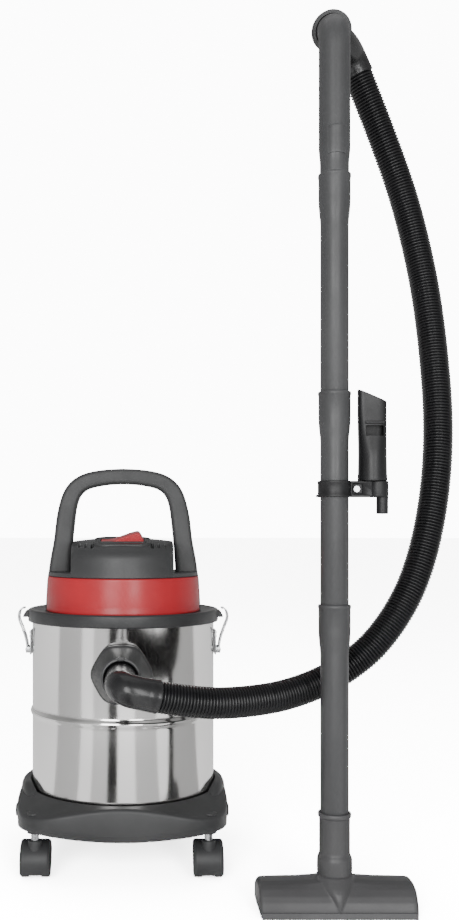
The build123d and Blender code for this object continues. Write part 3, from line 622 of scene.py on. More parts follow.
def make_lid():
    """Rim that sits over the drum's edge, with a sloped lug for each latch."""
    profile = [(70, 352), (136.4, 352), (136.9, 351.4), (136.9, 345.8)]
    profile += arc((138.7, 346.8), 1.8, 180, 360, 6)[1:] + arc((137.4, 359.8), 3.2, 0, 90, 6)
    profile += [(134, 362.4), (129, 361.2), (124, 360.3), (116, 360), (70, 360), (70, 352)]
    parts = [ring_round("rim", profile)]
    for way in (-1, 1):
        section = [(137, 350), (146.6, 350), (148, 350.9), (147.7, 352), (144.0, 359.0), (142.6, 360.2),
            (137, 360.2)]
        rings = [[from_drum(way * u, y, z) for u, z in section] for y in (-12, 12)]
        lug = skinned("lug", rings)
        rounded(lug, 0.8 * mm, 3)
        parts.append(lug)
    return joined("lid_rim", parts)


def make_band():
    """Painted band: rolled lower edge, slight taper, soft upper edge."""
    profile = [(103, 360), (112.2, 360)] + arc((112.2, 361.4), 1.4, -90, 0, 4)
    profile += [(113.7, 363.4), (113.2, 364.8), (113.3, 372), (113.1, 384), (112.7, 396), (112.1, 406)]
    profile += arc((110.4, 408.9), 1.7, 10, 90, 5)
    profile += [(108.6, 411), (103, 411), (103, 360)]
    band = ring_round("head_band", profile, 45)
    for way in (-1, 1):
        cut(band, block("slot", from_drum(way * (106 + 9.7), 0, 400), (20 * mm, 28.8 * mm, 90 * mm)))
    return band


side_wall = 72.5  # where the dome's open sides begin, from its middle


def make_dome():
    """Top cover with open sides for the handle's legs, the switch seat and the air slots."""
    crown = through([(105, 447), (100, 453), (92, 457.4), (71, 462.3), (40, 465.6), (0, 467)], 5)
    profile = [(0, 411.2), (109.2, 411.2), (110, 412), (109.6, 424), (108.8, 437), (107.6, 443)] + crown[1:]
    dome = ring_round("head_dome", profile + [(0, 411.2)], 30)
    cut(dome, rod("motor_room", from_drum(0, 0, 400), from_drum(0, 0, 438), 74 * mm, 96))
    for way in (-1, 1):
        cut(dome, block("open_side", from_drum(way * (side_wall + 30), 0, 457),
            (60 * mm, 190 * mm, 80 * mm), 2.2 * mm))
        for x, y, long in ((42, -84, 22), (51, -79, 20), (60, -73, 18)):
            cut(dome, block("slot", from_drum(way * x, y + 4, 462), (4.4 * mm, long * mm, 30 * mm), 1 * mm))
    tilt = (radians(9), 0, 0)
    cut(dome, rounded_plate("seat", 84.4, 71.4, 22.2, 60, 24.8, tilt))
    rounded(dome, 0.7 * mm, 2, 50)
    shade(dome, 35)
    return dome


switch_mid = (0, -60, 462.5)


def rounded_plate(name, long, deep, corner, thick, lift, tilt):
    """A plate with round corners on the switch's tilted plane, lifted along that plane's normal."""
    bpy.ops.object.select_all(action="DESELECT")
    bpy.ops.mesh.primitive_cube_add(size=1, location=(0, 0, 0))
    plate = bpy.context.active_object
    plate.name = name
    plate.scale = (long * mm, deep * mm, thick * mm)
    place(plate)
    bpy.ops.object.mode_set(mode="EDIT")
    bpy.ops.mesh.select_all(action="DESELECT")
    bpy.ops.object.mode_set(mode="OBJECT")
    for edge in plate.data.edges:
        a, b = (plate.data.vertices[v].co for v in edge.vertices)
        edge.select = abs(a.z - b.z) > thick * mm * 0.5
    bpy.ops.object.mode_set(mode="EDIT")
    bpy.ops.mesh.select_mode(type="EDGE")
    bpy.ops.mesh.bevel(offset=corner * mm, segments=14, affect="EDGES")
    bpy.ops.object.mode_set(mode="OBJECT")
    turn = Matrix.Rotation(tilt[0], 4, "X")
    seat = Matrix.Translation(from_drum(*switch_mid))
    plate.data.transform(seat @ turn @ Matrix.Translation((0, 0, lift * mm)))
    return plate


def make_handle():
    """Arched carry handle whose legs stand on the dome's ledge and run on beside the band to the lid."""
    outer = [
        (0, 569.4), (28, 567.8), (53, 563.4), (70, 555.8), (81.5, 545.6), (88.6, 534.2), (93.4, 520.8),
        (96.8, 507),
        (99.4, 492), (102.6, 464), (105, 450.5), (107.4, 438), (109.4, 425), (110.3, 417.4),
    ]
    inner = [
        (0, 546.4), (20, 545.4), (38.7, 542.4), (50, 539.2), (57.5, 534.6), (62.6, 528.6), (66.2, 520.4),
        (68.8, 510),
        (70.6, 497), (73.5, 470), (75.2, 452), (76.2, 438), (77, 425), (77.4, 417.4),
    ]
    outside, inside = through(outer, 6), through(inner, 6)
    mirrored = [((-a[0], a[1]), (-b[0], b[1])) for a, b in zip(outside, inside)]
    rows = mirrored[:0:-1] + list(zip(outside, inside))
    parts = [handle_skin(rows, 14)]
    for way in (-1, 1):
        low_leg = [((way * u, z), (way * 106.2, z)) for u, z in ((109.6, 421), (110.6, 415), (112.3, 404),
            (113.6, 382), (114.6, 360.4))]
        parts.append(handle_skin(low_leg, 14))
    return joined("carry_handle_arch", parts)


def handle_skin(rows, half_deep):
    """A rounded bar through rows of (outer, inner) points seen from the front."""
    rings = []
    for (ox, oz), (ix, iz) in rows:
        ring = []
        for k in range(40):
            a = 2 * pi * k / 40
            across = abs(cos(a)) ** 0.42 * (1 if cos(a) > 0 else -1)
            deep = abs(sin(a)) ** 0.42 * (1 if sin(a) > 0 else -1)
            share = (1 + across) / 2
            ring.append(from_drum(ix + (ox - ix) * share, half_deep * deep, iz + (oz - iz) * share))
        rings.append(ring)
    return skinned("bar", rings, smooth=50)


def make_switch():
    """Switch plate with its raised frame, and the rocker."""
    tilt = (radians(9), 0, 0)
    plate = rounded_plate("plate", 83, 70, 21.6, 6.5, -1.75, tilt)
    rounded(plate, 1.8 * mm, 4)
    cut(plate, rounded_plate("dish", 75, 62, 18, 4, 2.6, tilt))
    cut(plate, rounded_plate("opening", 62.6, 26.2, 1.2, 30, 0, tilt))
    shade(plate, 30)
    rim = rounded_plate("frame", 67.4, 31.4, 3, 2.2, 1.0, tilt)
    rounded(rim, 0.8 * mm, 3)
    cut(rim, rounded_plate("opening", 62.6, 26.2, 1.2, 30, 0, tilt))
    plate = joined("switch_surround", [plate, rim])

    def on_plate(x, y, z):
        tilted = Matrix.Rotation(tilt[0], 4, "X") @ Vector((x * mm, y * mm, z * mm))
        return Vector(from_drum(*switch_mid)) + tilted

    top = through([(-30.7, 1.2), (-22, 1.0), (-12, 2.6), (-2, 6.2), (9, 10.2), (18, 12.8), (21.5, 13.2),
        (24.4, 12.0), (28, 6.4), (30.7, 1.0)], 4)
    round_belly = [(6 * cos(radians(t)), 6 * sin(radians(t))) for t in range(-30, -151, -15)]
    belly = [(30.7, -3), (8, -3)] + round_belly + [(-8, -3), (-30.7, -3)]
    rings = [[on_plate(x, y, z) for x, z in top + belly] for y in (-12.7, 12.7)]
    rocker = skinned("rocker", rings)
    rounded(rocker, 1.3 * mm, 4, 50)
    rocker.name = "rocker_key"
    return plate, rocker


lid = make_lid()
band = make_band()
dome = make_dome()
arch = make_handle()
surround, rocker = make_switch()
head_parts = (
    (lid, "lid", "head", "black_plastic"), (band, "red_band", "head", "red_plastic"),
    (dome, "dome", "head", "black_plastic"),
    (arch, "carry_handle", "head", "grey_plastic"), (surround, "switch_plate", "head", "grey_plastic"),
    (rocker, "rocker_switch", "rocker", "red_plastic"),
)
for piece, node, body, slot in head_parts:
    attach(piece, body)
    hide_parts(node)

# ------------------------------------------------------------------ wand, grip and clip
def from_wand(x, y, z):
    return (wand_x + x * mm, wand_y + y * mm, z * mm)


def make_tube(name, top):
    """One wand tube with a flared socket and a lip round its mouth."""
    low = top - 305
    profile = [(16, low), (17, low), (17.7, low + 1.2), (17.7, top - 64)]
    profile += through([(17.7, top - 64), (18.1, top - 57), (19.1, top - 48), (19.8, top - 40)], 4)[1:]
    profile += [(20.1, top - 32), (20.1, top - 5), (20.6, top - 4.2), (20.75, top - 2.4),
        (20.6, top - 0.7), (20.1, top)]
    profile += [(19.3, top), (18.15, top - 1), (18.15, top - 38), (16, top - 44), (16, low)]
    return turned(name, [(r * mm, z * mm) for r, z in profile], (wand_x, wand_y, 0), 96, smooth=38)


def make_grip():
    """Bent grip: spigot, soft shoulder, then one diameter round the bend to its open end."""
    line = smooth_line("grip_line", [
        (wand_x, wand_y, 0.9285), (wand_x, wand_y, 1.0), (wand_x, wand_y, 1.0626), bend_point,
        bend_point + grip_back * 0.0484, grip_end,
    ])

    def radius(gone):
        climb = min(1.0, max(0.0, (gone - 0.012) / 0.022))
        return (18.2 + 1.6 * climb * climb * (3 - 2 * climb)) * mm

    return sleeve("grip_tube", line, 1.6 * mm, radius, segments=96, wall=3.2 * mm)


def make_slider():
    """Air slider: a thin plate curved to the grip, with a finger edge."""
    rings = []
    for z, proud in ((950, 0.1), (954, 0.3), (962, 0.5), (972, 0.6), (979, 0.9), (982.6, 1.5), (984, 1.5),
        (985, 0.9), (985.2, 0.1)):
        ring = []
        for a in [radians(t) for t in range(-36, 37, 3)]:
            edge = cos(a * 2.4)
            ring.append(from_wand((19.75 + proud * edge) * sin(a), -(19.75 + proud * edge) * cos(a),
                z - 3 * sin(a) ** 2))
        for a in [radians(t) for t in range(36, -37, -3)]:
            ring.append(from_wand(19.3 * sin(a), -19.3 * cos(a), z - 3 * sin(a) ** 2))
        rings.append(ring)
    return skinned("grip_slider", rings)


def make_collar():
    """Swivel collar at the grip's end, turned to the grip's own direction."""
    profile = [(20.95, -22)] + arc((23.6, -20), 2.0, -90, 0, 5)
    profile += [(25.6, -16), (25.6, -3)] + arc((22.4, -1.2), 3.2, 0, 90, 6)
    profile += [(19.0, 2), (17.6, 1.2), (17.6, 0.1), (20.95, 0.1), (20.95, -22)]
    collar = turned("swivel_collar", [(r * mm, h * mm) for r, h in profile], (0, 0, 0), 120, smooth=38)
    turn = Vector((0, 0, 1)).rotation_difference(grip_back).to_matrix().to_4x4()
    collar.data.transform(Matrix.Translation(grip_end) @ turn)
    return collar


def make_clip():
    """Strap round the tube, screwed arm, spigot for the tool and a stub below."""
    profile = [(18.1, 520.4), (18.6, 520), (20.6, 520), (21.3, 520.8), (21.3, 523), (21.0, 523.6),
        (21.0, 537), (21.3, 537.6), (21.3, 539.8), (20.6, 540.5), (18.6, 540.5), (18.1, 540.1),
        (18.1, 520.4)]
    parts = [turned("strap", [(r * mm, z * mm) for r, z in profile], (wand_x, wand_y, 0), 96)]
    parts.append(block("foot", from_wand(-21.6, 0, 521.6), (2.4 * mm, 10 * mm, 3.2 * mm), 0.6 * mm))
    arm = block("arm", from_wand(37.4, 0, 530.25), (37 * mm, 17 * mm, 20.5 * mm), 1.4 * mm)
    cut(arm, block("dish", from_wand(27.2, -9.4, 530.4), (13 * mm, 5 * mm, 13.6 * mm), 1.6 * mm))
    cut(arm, block("split", from_wand(26, 0, 530), (14 * mm, 1.6 * mm, 30 * mm)))
    parts.append(arm)
    parts.append(rod("seat", from_wand(55, 0, 520), from_wand(55, 0, 540.5), 13 * mm, 64, 1.4 * mm))
    parts.append(rod("spigot", from_wand(48, 0, 540), from_wand(48, 0, 566.3), 14 * mm, 64, 1.2 * mm))
    stub = [(0, 498.8), (5.4, 498.8)] + arc((6.0, 500.2), 1.4, -90, 0, 4) + [(7.5, 504), (7.5, 521),
        (0, 521)]
    parts.append(turned("stub", [(r * mm, z * mm) for r, z in stub], from_wand(60.4, 0, 0), 48))
    return joined("tool_clip", parts)


def make_tool():
    """Crevice tool: round socket that flattens to a slit with a slanted end, and an air window."""
    def body(name, wall, low_extra, high_extra):
        rings = []
        for z, half_x, half_y in (
            (541, 18.3, 18.3), (543, 18.5, 18.5), (547, 18.4, 18.4), (549, 18.1, 18.1), (572, 17.7, 17.6),
            (580, 17.6, 16.4),
            (592, 17.6, 13.6), (606, 17.7, 11.4), (624, 17.8, 9.6), (640, 17.8, 8.7), (656, 17.8, 8.4),
        ):
            flat = min(1.0, max(0.0, (z - 572) / 50))
            power = 1 - 0.45 * flat
            lean = (z - 640.5) / 14.5 if z > 640.5 else 0
            ring = []
            for k in range(72):
                a = 2 * pi * k / 72
                x = abs(cos(a)) ** power * (1 if cos(a) > 0 else -1) * (half_x - wall)
                y = abs(sin(a)) ** power * (1 if sin(a) > 0 else -1) * (half_y - wall)
                height = z - lean * 7.3 * (1 + x / 18)
                height += low_extra if z == 541 else 0
                height += high_extra if z == 656 else 0
                ring.append(from_wand(48 + x - 0.6 * flat, y, height))
            rings.append(ring)
        return skinned(name, rings, smooth=35)

    tool = body("slit_tool", 0, 0, 0)
    cut(tool, body("bore", 1.8, -4, 8))
    window = block("window", from_wand(48.6, -14, 603.4), (23 * mm, 16 * mm, 13.4 * mm), 1.2 * mm)
    cut(tool, window)
    brow = block("brow", from_wand(48.4, -11.4, 613.8), (25 * mm, 2.6 * mm, 3.4 * mm), 1.1 * mm)
    tool = joined("slit_tool", [tool, brow])
    shade(tool, 35)
    return tool


wand_parts = []
for name, top in (("upper", 928), ("middle", 653), ("lower", 384)):
    wand_parts.append((make_tube(f"{name}_tube", top), f"wand_tube_{name}", "trolley", "grey_plastic"))
wand_parts += [
    (make_grip(), "bent_grip", "trolley", "grey_plastic"),
    (make_slider(), "air_slider", "slider", "grey_plastic"),
    (make_collar(), "grip_collar", "trolley", "grey_plastic"),
    (make_clip(), "accessory_clip", "trolley", "black_plastic"),
    (make_tool(), "crevice_tool", "tool", "black_plastic"),
]


# ------------------------------------------------------------------ floor nozzle
def make_neck():
    """Swivel neck: ball, wide collar, waist, and the ring that the wand stands in."""
    profile = [(0, 12.2)] + arc((0, 31), 18.9, -80, 12, 14)
    profile += through([(17.4, 40), (20.6, 43.6), (22, 47.4), (22, 62), (21.2, 66.4), (19.5, 70)], 5)
    profile += [(19.3, 74), (19.3, 115.4), (20.4, 116.4), (21, 117.8), (21, 120.8), (20.3, 122),
        (18.4, 122), (17, 120), (17, 60), (0, 56)]
    return turned("swivel_neck", [(r * mm, z * mm) for r, z in profile], (wand_x, wand_y, 0), 96, smooth=40)


def make_nozzle():
    """Wide suction head: shell with rounded ends, and the throat that holds the neck's ball."""
    def shell(name, inset, half, low):
        rings = []
        xs = [half * s for s in (-1, -0.995, -0.985, -0.97, -0.94, -0.8, -0.6, -0.45, -0.34, -0.27, -0.2,
            -0.1)]
        for x in xs + [0] + [-x for x in reversed(xs)]:
            end = max(0.0, (abs(x) / half - 0.94) / 0.06)
            pull = (1 - sqrt(max(0.0, 1 - end * end))) * 4.5
            rise = 4.2 * max(0.0, 1 - abs(x) / 52) ** 1.6
            top = 39.4 + rise - inset - pull - 1.6 * (abs(x) / 98) ** 2
            face = inset + pull
            outline = [
                (-37 + face, low), (-37.2 + face, 8), (-36.4 + face, 12), (-34.2 + face, 18.4),
                (-30 + face, 25.4 - inset * 0.4),
                (-24 + face * 0.8, 32.2 - inset * 0.7 - pull * 0.5), (-17 + face * 0.4, top - 2.4),
                (-9, top - 0.3), (2, top),
                (13 - face * 0.3, top - 0.8), (21 - face * 0.6, top - 4.6), (29 - face * 0.8, top - 10.6),
                (34 - face, 24),
                (35 - face, 16), (35 - face, low),
            ]
            rings.append([from_wand(x, y, z) for y, z in outline])
        return skinned(name, rings, smooth=42)

    body = shell("suction_head", 0, 98, 4)
    throat = []
    for z, wide, front in (
        (9, 5.5, -37.4), (12, 7.6, -38.0), (17, 10.8, -38.0), (23, 14.8, -37.0), (29, 19.2, -34.8),
        (34, 22.2, -31.6),
        (38, 23.6, -28.4), (41.5, 23.8, -25.4), (44, 23.0, -23.6), (45.2, 21.4, -21.8),
    ):
        back = 22.0 if z > 30 else 18.0
        throat.append([
            from_wand(wide * cos(2 * pi * k / 64),
                (front + back) / 2 + (back - front) / 2 * sin(2 * pi * k / 64), z)
            for k in range(64)
        ])
    boss = skinned("throat", throat, smooth=45)
    body = joined("suction_head", [body, boss])
    remesh = body.modifiers.new("blend", "REMESH")
    remesh.mode = "VOXEL"
    remesh.voxel_size = 1.1 * mm
    apply_all(body)
    smooth = body.modifiers.new("soften", "SMOOTH")
    smooth.factor = 0.6
    smooth.iterations = 5
    apply_all(body)
    cut(body, shell("cavity", 2.6, 95, -4))
    ball_profile = [(0, 8), *arc((0, 31), 20.2, -80, 20, 16), (19.6, 60), (0, 60)]
    ball_room = turned("ball_room", ball_profile, (0, 0, 0), 64)
    ball_room.data.transform(Matrix.Translation((wand_x, wand_y, 0)) @ Matrix.Scale(mm, 4))
    cut(body, ball_room)
    shade(body, 42)
    return body


wand_parts += [
    (make_neck(), "nozzle_neck", "trolley", "grey_plastic"),
    (make_nozzle(), "nozzle_body", "nozzle", "grey_plastic"),
]
for piece, node, body, slot in wand_parts:
    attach(piece, body)
    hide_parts(node)

# ------------------------------------------------------------------ finishes
def maths(tree, operation, *values):
    """One step of arithmetic in a node tree, on sockets and plain numbers."""
    step = tree.nodes.new("ShaderNodeMath")
    step.operation = operation
    for socket, value in zip(step.inputs, values):
        if isinstance(value, (int, float)):
            socket.default_value = value
        else:
            tree.links.new(value, socket)
    return step.outputs[0]


def swapped(tree, ray, usual, grey):
    """The usual colour, with a plain grey in its place for one kind of ray."""
    rays = tree.nodes.new("ShaderNodeLightPath")
    choice = tree.nodes.new("ShaderNodeMix")
    choice.data_type = "RGBA"
    choice.inputs[7].default_value = (grey, grey, grey, 1)
    tree.links.new(rays.outputs[ray], choice.inputs[0])
    tree.links.new(usual, choice.inputs[6])
    return choice.outputs[2]


class Finish:
    """A node material built step by step on object coordinates."""

    def __init__(self, name, colour, roughness, metallic=0.0, centre=(0, 0, 0)):
        self.material = bpy.data.materials.new(name)
        self.material.use_nodes = True
        self.tree = self.material.node_tree
        self.shader = self.tree.nodes["Principled BSDF"]
        self.shader.inputs["Base Color"].default_value = (*colour, 1)
        self.shader.inputs["Roughness"].default_value = roughness
        self.shader.inputs["Metallic"].default_value = metallic
        coordinates = self.tree.nodes.new("ShaderNodeTexCoord")
        shift = self.tree.nodes.new("ShaderNodeMapping")
        shift.inputs["Location"].default_value = [-value for value in centre]
        self.tree.links.new(coordinates.outputs["Object"], shift.inputs["Vector"])
        self.place = shift.outputs["Vector"]
        self.normal = None

    def stretched(self, scale):
        """The place, stretched so that a pattern runs along one way."""
        stretch = self.tree.nodes.new("ShaderNodeMapping")
        stretch.inputs["Scale"].default_value = scale
        self.tree.links.new(self.place, stretch.inputs["Vector"])
        return stretch.outputs["Vector"]

    def noise(self, scale, detail=3.0, vector=None, rough=0.5):
        node = self.tree.nodes.new("ShaderNodeTexNoise")
        node.inputs["Scale"].default_value = scale
        node.inputs["Detail"].default_value = detail
        node.inputs["Roughness"].default_value = rough
        self.tree.links.new(vector or self.place, node.inputs["Vector"])
        return node.outputs["Fac"]

    def ranged(self, value, low, high, start=0.35, stop=0.65):
        """value between start and stop, spread from low to high."""
        node = self.tree.nodes.new("ShaderNodeMapRange")
        node.inputs["From Min"].default_value = start
        node.inputs["From Max"].default_value = stop
        node.inputs["To Min"].default_value = low
        node.inputs["To Max"].default_value = high
        self.tree.links.new(value, node.inputs["Value"])
        return node.outputs["Result"]

    def tint(self, value, dark, light, start=0.35, stop=0.65):
        """Colour that runs from dark to light with value."""
        ramp = self.tree.nodes.new("ShaderNodeValToRGB")
        ramp.color_ramp.elements[0].position = start
        ramp.color_ramp.elements[0].color = (*dark, 1)
        ramp.color_ramp.elements[1].position = stop
        ramp.color_ramp.elements[1].color = (*light, 1)
        self.tree.links.new(value, ramp.inputs["Fac"])
        return ramp.outputs["Color"]

    def colour(self, socket):
        self.tree.links.new(socket, self.shader.inputs["Base Color"])

    def over(self, value, colour):
        """Lays another colour over the one there, where value is high."""
        there = self.shader.inputs["Base Color"].links[0].from_socket
        mix = self.tree.nodes.new("ShaderNodeMix")
        mix.data_type = "RGBA"
        mix.inputs[7].default_value = (*colour, 1)
        self.tree.links.new(value, mix.inputs[0])
        self.tree.links.new(there, mix.inputs[6])
        self.colour(mix.outputs[2])

    def roughness(self, socket):
        self.tree.links.new(socket, self.shader.inputs["Roughness"])

    def bump(self, socket, depth, strength=1.0):
        """Relief of that depth in metres, laid over any relief there is."""
        node = self.tree.nodes.new("ShaderNodeBump")
        node.inputs["Distance"].default_value = depth
        node.inputs["Strength"].default_value = strength
        self.tree.links.new(socket, node.inputs["Height"])
        if self.normal:
            self.tree.links.new(self.normal, node.inputs["Normal"])
        self.normal = node.outputs["Normal"]
        self.tree.links.new(self.normal, self.shader.inputs["Normal"])

    def edges(self, low, high):
        """1 on worn outer edges, 0 elsewhere."""
        geometry = self.tree.nodes.new("ShaderNodeNewGeometry")
        return self.ranged(geometry.outputs["Pointiness"], 0.0, 1.0, low, high)

    def set(self, **values):
        for name, value in values.items():
            self.shader.inputs[name.replace("_", " ")].default_value = value
        return self


def scaled(colour, factor):
    return tuple(value * factor for value in colour)


def moulded(name, colour, roughness, grain=0.00005, wear=0.35, scratches=0.5):
    """Moulded plastic: spark-eroded grain, faint clouding, scuffs and paler handled edges."""
    finish = Finish(name, colour, roughness)
    cloud = finish.noise(9, 4)
    finish.colour(finish.tint(cloud, scaled(colour, 0.86), scaled(colour, 1.14), 0.3, 0.7))
    scuffs = finish.noise(60, 6, finish.stretched((1, 1, 0.25)), 0.75)
    finish.over(finish.ranged(scuffs, 0, 0.16 * scratches, 0.6, 0.78), scaled(colour, 2.2))
    if wear:
        finish.over(finish.ranged(finish.edges(0.52, 0.60), 0, wear, 0, 1), scaled(colour, 2.4))
    handled = finish.noise(26, 5)
    finish.roughness(finish.ranged(handled, roughness - 0.06, roughness + 0.08, 0.3, 0.7))
    finish.bump(finish.noise(1500, 2), grain)
    finish.bump(finish.noise(35, 3), 0.00008)
    return finish.set(Specular_IOR_Level=0.45).material


def steel(name, colour, roughness, centre, brush=0.000012):
    """Polished sheet: fine lines round the drum, slight unevenness, smudges and hair scratches."""
    finish = Finish(name, colour, roughness, 1.0, centre)
    hazy = finish.noise(5, 4)
    finish.colour(finish.tint(hazy, scaled(colour, 0.94), scaled(colour, 1.03), 0.3, 0.7))
    lines = finish.noise(55, 5, finish.stretched((1, 1, 60)), 0.7)
    smudge = finish.noise(16, 5)
    finish.roughness(finish.ranged(smudge, roughness - 0.02, roughness + 0.05, 0.35, 0.75))
    finish.bump(lines, brush)
    finish.bump(finish.noise(900, 4, finish.stretched((1, 1, 0.02)), 0.8), brush * 0.7)
    finish.bump(finish.noise(11, 2, finish.stretched((1, 1, 0.35))), 0.00035)
    return finish.material


def bright_wire(name):
    """Zinc-plated spring steel with fine drawing marks and duller patches."""
    finish = Finish(name, (0.66, 0.67, 0.68), 0.26, 1.0)
    patches = finish.noise(70, 4)
    finish.colour(finish.tint(patches, (0.48, 0.49, 0.50), (0.74, 0.75, 0.76)))
    finish.roughness(finish.ranged(patches, 0.34, 0.2))
    finish.bump(finish.noise(700, 3, finish.stretched((1, 1, 0.1))), 0.00004)
    return finish.material


def tread_rubber(name, colour=(0.022, 0.022, 0.023)):
    """Dull rubber with fine pits and floor dust in places."""
    finish = Finish(name, colour, 0.78)
    dust = finish.noise(45, 5)
    finish.colour(finish.tint(dust, scaled(colour, 0.8), scaled(colour, 1.5), 0.4, 0.72))
    finish.over(finish.ranged(finish.noise(180, 4), 0, 0.25, 0.58, 0.75), (0.16, 0.155, 0.145))
    finish.bump(finish.noise(1900, 3), 0.00009)
    return finish.material


def cast_metal(name):
    """Sand-cast aluminium of the motor."""
    finish = Finish(name, (0.5, 0.5, 0.5), 0.5, 1.0)
    finish.colour(finish.tint(finish.noise(40, 4), (0.38, 0.38, 0.39), (0.58, 0.58, 0.57)))
    finish.bump(finish.noise(600, 4), 0.0002)
    return finish.material


def pleated_paper(name, centre):
    """Filter paper, folded in upright pleats round the axis, with painted shade in the pleat valleys and a
    painted highlight on the crests.
    """
    finish = Finish(name, (0.82, 0.79, 0.7), 0.9, 0.0, centre)
    tree = finish.tree
    wave = tree.nodes.new("ShaderNodeTexGradient")
    wave.gradient_type = "RADIAL"
    tree.links.new(finish.place, wave.inputs["Vector"])
    pleats = 72
    pleat_relief_and_shade = maths(tree, "PINGPONG", maths(tree, "MULTIPLY", wave.outputs["Fac"], pleats), 0.5)
    # painted shade and highlight: the pleat valleys are coloured darker and the crests lighter, following
    # the folds' relief
    finish.colour(finish.tint(pleat_relief_and_shade, (0.46, 0.43, 0.36), (0.86, 0.83, 0.75), 0.05, 0.4))
    finish.bump(pleat_relief_and_shade, 0.004)
    finish.bump(finish.noise(800, 3), 0.0002)
    return finish.material


charcoal = moulded("charcoal_plastic", (0.042, 0.043, 0.044), 0.44)
pale_charcoal = moulded("handle_plastic", (0.046, 0.047, 0.048), 0.48)
deep_black = moulded("black_rim_plastic", (0.030, 0.031, 0.032), 0.36)
tube_plastic = moulded("tube_plastic", (0.066, 0.067, 0.069), 0.40, grain=0.00003)
nozzle_plastic = moulded("nozzle_plastic", (0.072, 0.072, 0.074), 0.42)
tool_plastic = moulded("tool_plastic", (0.011, 0.011, 0.012), 0.42)
castor_plastic = moulded("castor_plastic", (0.034, 0.035, 0.036), 0.46, wear=0.5)
flange_plastic = moulded("flange_plastic", (0.044, 0.045, 0.046), 0.36)
gloss_black = moulded("gloss_cuff_plastic", (0.02, 0.02, 0.021), 0.22, grain=0.00001)
hose_plastic = moulded("hose_plastic", (0.006, 0.006, 0.007), 0.28, grain=0.00002, wear=0.25)
red_paint = moulded("red_plastic", (0.50, 0.022, 0.030), 0.34, grain=0.00001, wear=0.1, scratches=0.25)
drum_steel = steel("drum_steel", (0.86, 0.85, 0.835), 0.11, (drum_x, drum_y, 0))
wire_steel = bright_wire("wire_steel")
wheel_rubber = tread_rubber("wheel_rubber")
seal_rubber = tread_rubber("seal_rubber", (0.016, 0.016, 0.017))
motor_alloy = cast_metal("motor_alloy")
filter_paper = pleated_paper("filter_paper", (drum_x, drum_y, 0))

finishes = {
    trolley: charcoal, drum: drum_steel, inlet: flange_plastic, hose: hose_plastic, elbow: gloss_black,
    cuff: gloss_black,
}
for hood, pair in castor_parts.values():
    finishes[hood] = castor_plastic
    finishes[pair] = wheel_rubber
for piece in latch_parts:
    finishes[piece] = wire_steel
node_finishes = {
    node: finish
    for finish, made_of_it in (
        (wire_steel, ("castor_stems", "clip_screw", "pivot_pins")),
        (seal_rubber, ("inlet_gasket", "lid_seal", "cable_gland")),
        (charcoal, ("inlet_deflector", "motor_chamber", "filter_cage")),
        (charcoal, ("dome", "switch_plate", "grip_collar")),
        (motor_alloy, ("motor_core", "impeller")),
        (filter_paper, ("cartridge_filter",)),
        (red_paint, ("float_valve", "red_band", "rocker_switch")),
        (nozzle_plastic, ("nozzle_lips", "nozzle_sole", "nozzle_body", "nozzle_neck")),
        (tool_plastic, ("crevice_tool", "accessory_clip")),
        (tube_plastic, ("wand_tube_upper", "wand_tube_middle", "wand_tube_lower")),
        (tube_plastic, ("bent_grip", "air_slider")),
        (deep_black, ("lid",)),
        (pale_charcoal, ("carry_handle",)),
    )
    for node in made_of_it
}
for piece, node, _, _ in (*head_parts, *wand_parts):
    finishes[piece] = node_finishes[node]
for node, obj in nodes.items():
    finish = node_finishes.get(node, wire_steel if "axle" in node or "latch" in node else charcoal)
    obj.data.materials.clear()
    obj.data.materials.append(finish)
for piece, finish in finishes.items():
    piece.data.materials.clear()
    piece.data.materials.append(finish)

# ------------------------------------------------------------------ floor, light and surroundings
bpy.ops.object.select_all(action="DESELECT")
floor_seen, floor_mirrored = 26.0, 2.0
bpy.ops.mesh.primitive_circle_add(vertices=96, radius=60, fill_type="NGON", location=(0, 0, 0))
floor = bpy.context.active_object
floor.name = "studio_floor"
floor_finish = Finish("studio_floor", (0.86, 0.86, 0.86), 0.6)
floor_finish.colour(floor_finish.tint(floor_finish.noise(1.4, 3), (0.855, 0.855, 0.855),
    (0.87, 0.87, 0.87)))
# the floor is lifted to white where it is seen, and brightened where it is mirrored; its bounce light isn't
tree = floor_finish.tree
shown = floor_finish.shader.inputs["Base Color"].links[0].from_socket
shown = swapped(tree, "Is Glossy Ray", shown, floor_mirrored)
shown = swapped(tree, "Is Camera Ray", shown, floor_seen)
spread = tree.nodes.new("ShaderNodeBsdfDiffuse")
tree.links.new(shown, spread.inputs["Color"])
tree.links.new(spread.outputs["BSDF"], tree.nodes["Material Output"].inputs["Surface"])
floor.data.materials.append(floor_finish.material)


def flag(turn, half_wide, grey):
    """A card on the floor, unseen itself, that the polished drum mirrors as an upright streak."""
    near, far, low, high = 0.145, 5.0, turn - half_wide, turn + half_wide
    corners = [(near, low), (far, low), (far, high), (near, high)]
    bpy.ops.object.select_all(action="DESELECT")
    bpy.ops.mesh.primitive_plane_add(size=1, location=(0, 0, 0))
    card = bpy.context.active_object
    card.name = "flag"
    for vertex, (reach, angle) in zip(card.data.vertices, corners):
        a = radians(angle)
        vertex.co = (drum_x + reach * sin(a), drum_y - reach * cos(a), 0.0015)
    for seen_by in ("visible_camera", "visible_diffuse", "visible_shadow", "visible_transmission"):
        setattr(card, seen_by, False)
    surface = bpy.data.materials.new("flag")
    surface.use_nodes = True
    shader = surface.node_tree.nodes["Principled BSDF"]
    shader.inputs["Base Color"].default_value = (grey, grey, grey, 1)
    shader.inputs["Specular IOR Level"].default_value = 0
    card.data.materials.append(surface)


for streak in ((-11, 5.5, 0.05), (-66, 17, 0.98), (77, 20, 0.80), (-25, 9, 1.15), (27, 13, 1.0)):
    flag(*streak)


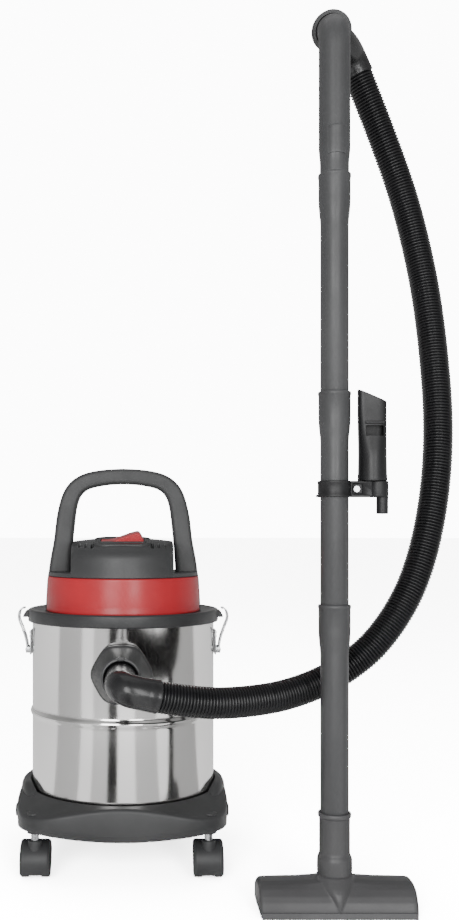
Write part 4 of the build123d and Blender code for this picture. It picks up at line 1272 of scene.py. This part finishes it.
def panel(name, spot, target, size, power):
    """A soft rectangular light aimed at a target."""
    data = bpy.data.lights.new(name, "AREA")
    data.shape = "RECTANGLE"
    data.size, data.size_y = size
    data.energy = power
    lamp = bpy.data.objects.new(name, data)
    lamp.location = spot
    lamp.rotation_euler = (Vector(target) - Vector(spot)).to_track_quat("-Z", "Y").to_euler()
    bpy.context.scene.collection.objects.link(lamp)


panel("front_left", (-1.0, -3.4, 1.1), (0, 0, 0.5), (1.3, 2.0), 62)
panel("front_right", (0.9, -3.4, 1.1), (0, 0, 0.5), (1.0, 2.0), 44)
panel("top", (0.0, 0.2, 3.4), (0, 0, 0.4), (2.6, 2.2), 12)

backdrop = 12.0
studio = bpy.data.worlds.new("studio")
studio.use_nodes = True
bpy.context.scene.world = studio
tree = studio.node_tree
background = tree.nodes["Background"]
direction = tree.nodes.new("ShaderNodeTexCoord")
split = tree.nodes.new("ShaderNodeSeparateXYZ")
tree.links.new(direction.outputs["Generated"], split.inputs["Vector"])
# the angle round the object: 0 towards the front, positive to the right
turn = maths(tree, "ARCTAN2", split.outputs["X"], maths(tree, "MULTIPLY", split.outputs["Y"], -1))
share = tree.nodes.new("ShaderNodeMapRange")
share.inputs["From Min"].default_value = -pi
share.inputs["From Max"].default_value = pi
tree.links.new(turn, share.inputs["Value"])
walls = tree.nodes.new("ShaderNodeValToRGB")
walls.color_ramp.interpolation = "EASE"
# grey of the studio walls by degrees round the object, the dark bands being gaps between the white panels
studio_walls = [
    (-180, 0.55), (-130, 0.60), (-95, 0.42), (-70, 0.40), (-45, 0.75), (-25, 1.0), (-10, 0.8), (-4, 0.15),
    (8, 0.15), (14, 0.8), (28, 1.0), (45, 0.70), (70, 0.38), (95, 0.40), (130, 0.58), (180, 0.55),
]
stops = walls.color_ramp.elements
for degrees, grey in studio_walls[1:-1]:
    stops.new((degrees + 180) / 360).color = (grey, grey, grey, 1)
for stop, (_, grey) in ((stops[0], studio_walls[0]), (stops[-1], studio_walls[-1])):
    stop.color = (grey, grey, grey, 1)
tree.links.new(share.outputs["Result"], walls.inputs["Fac"])
fade = tree.nodes.new("ShaderNodeMapRange")  # darker overhead
fade.inputs["To Min"].default_value = 1.15
fade.inputs["To Max"].default_value = 0.30
tree.links.new(split.outputs["Z"], fade.inputs["Value"])
dimmed = tree.nodes.new("ShaderNodeVectorMath")
dimmed.operation = "SCALE"
tree.links.new(walls.outputs["Color"], dimmed.inputs[0])
tree.links.new(fade.outputs["Result"], dimmed.inputs["Scale"])
tree.links.new(swapped(tree, "Is Camera Ray", dimmed.outputs[0], backdrop), background.inputs["Color"])
background.inputs["Strength"].default_value = 1.0
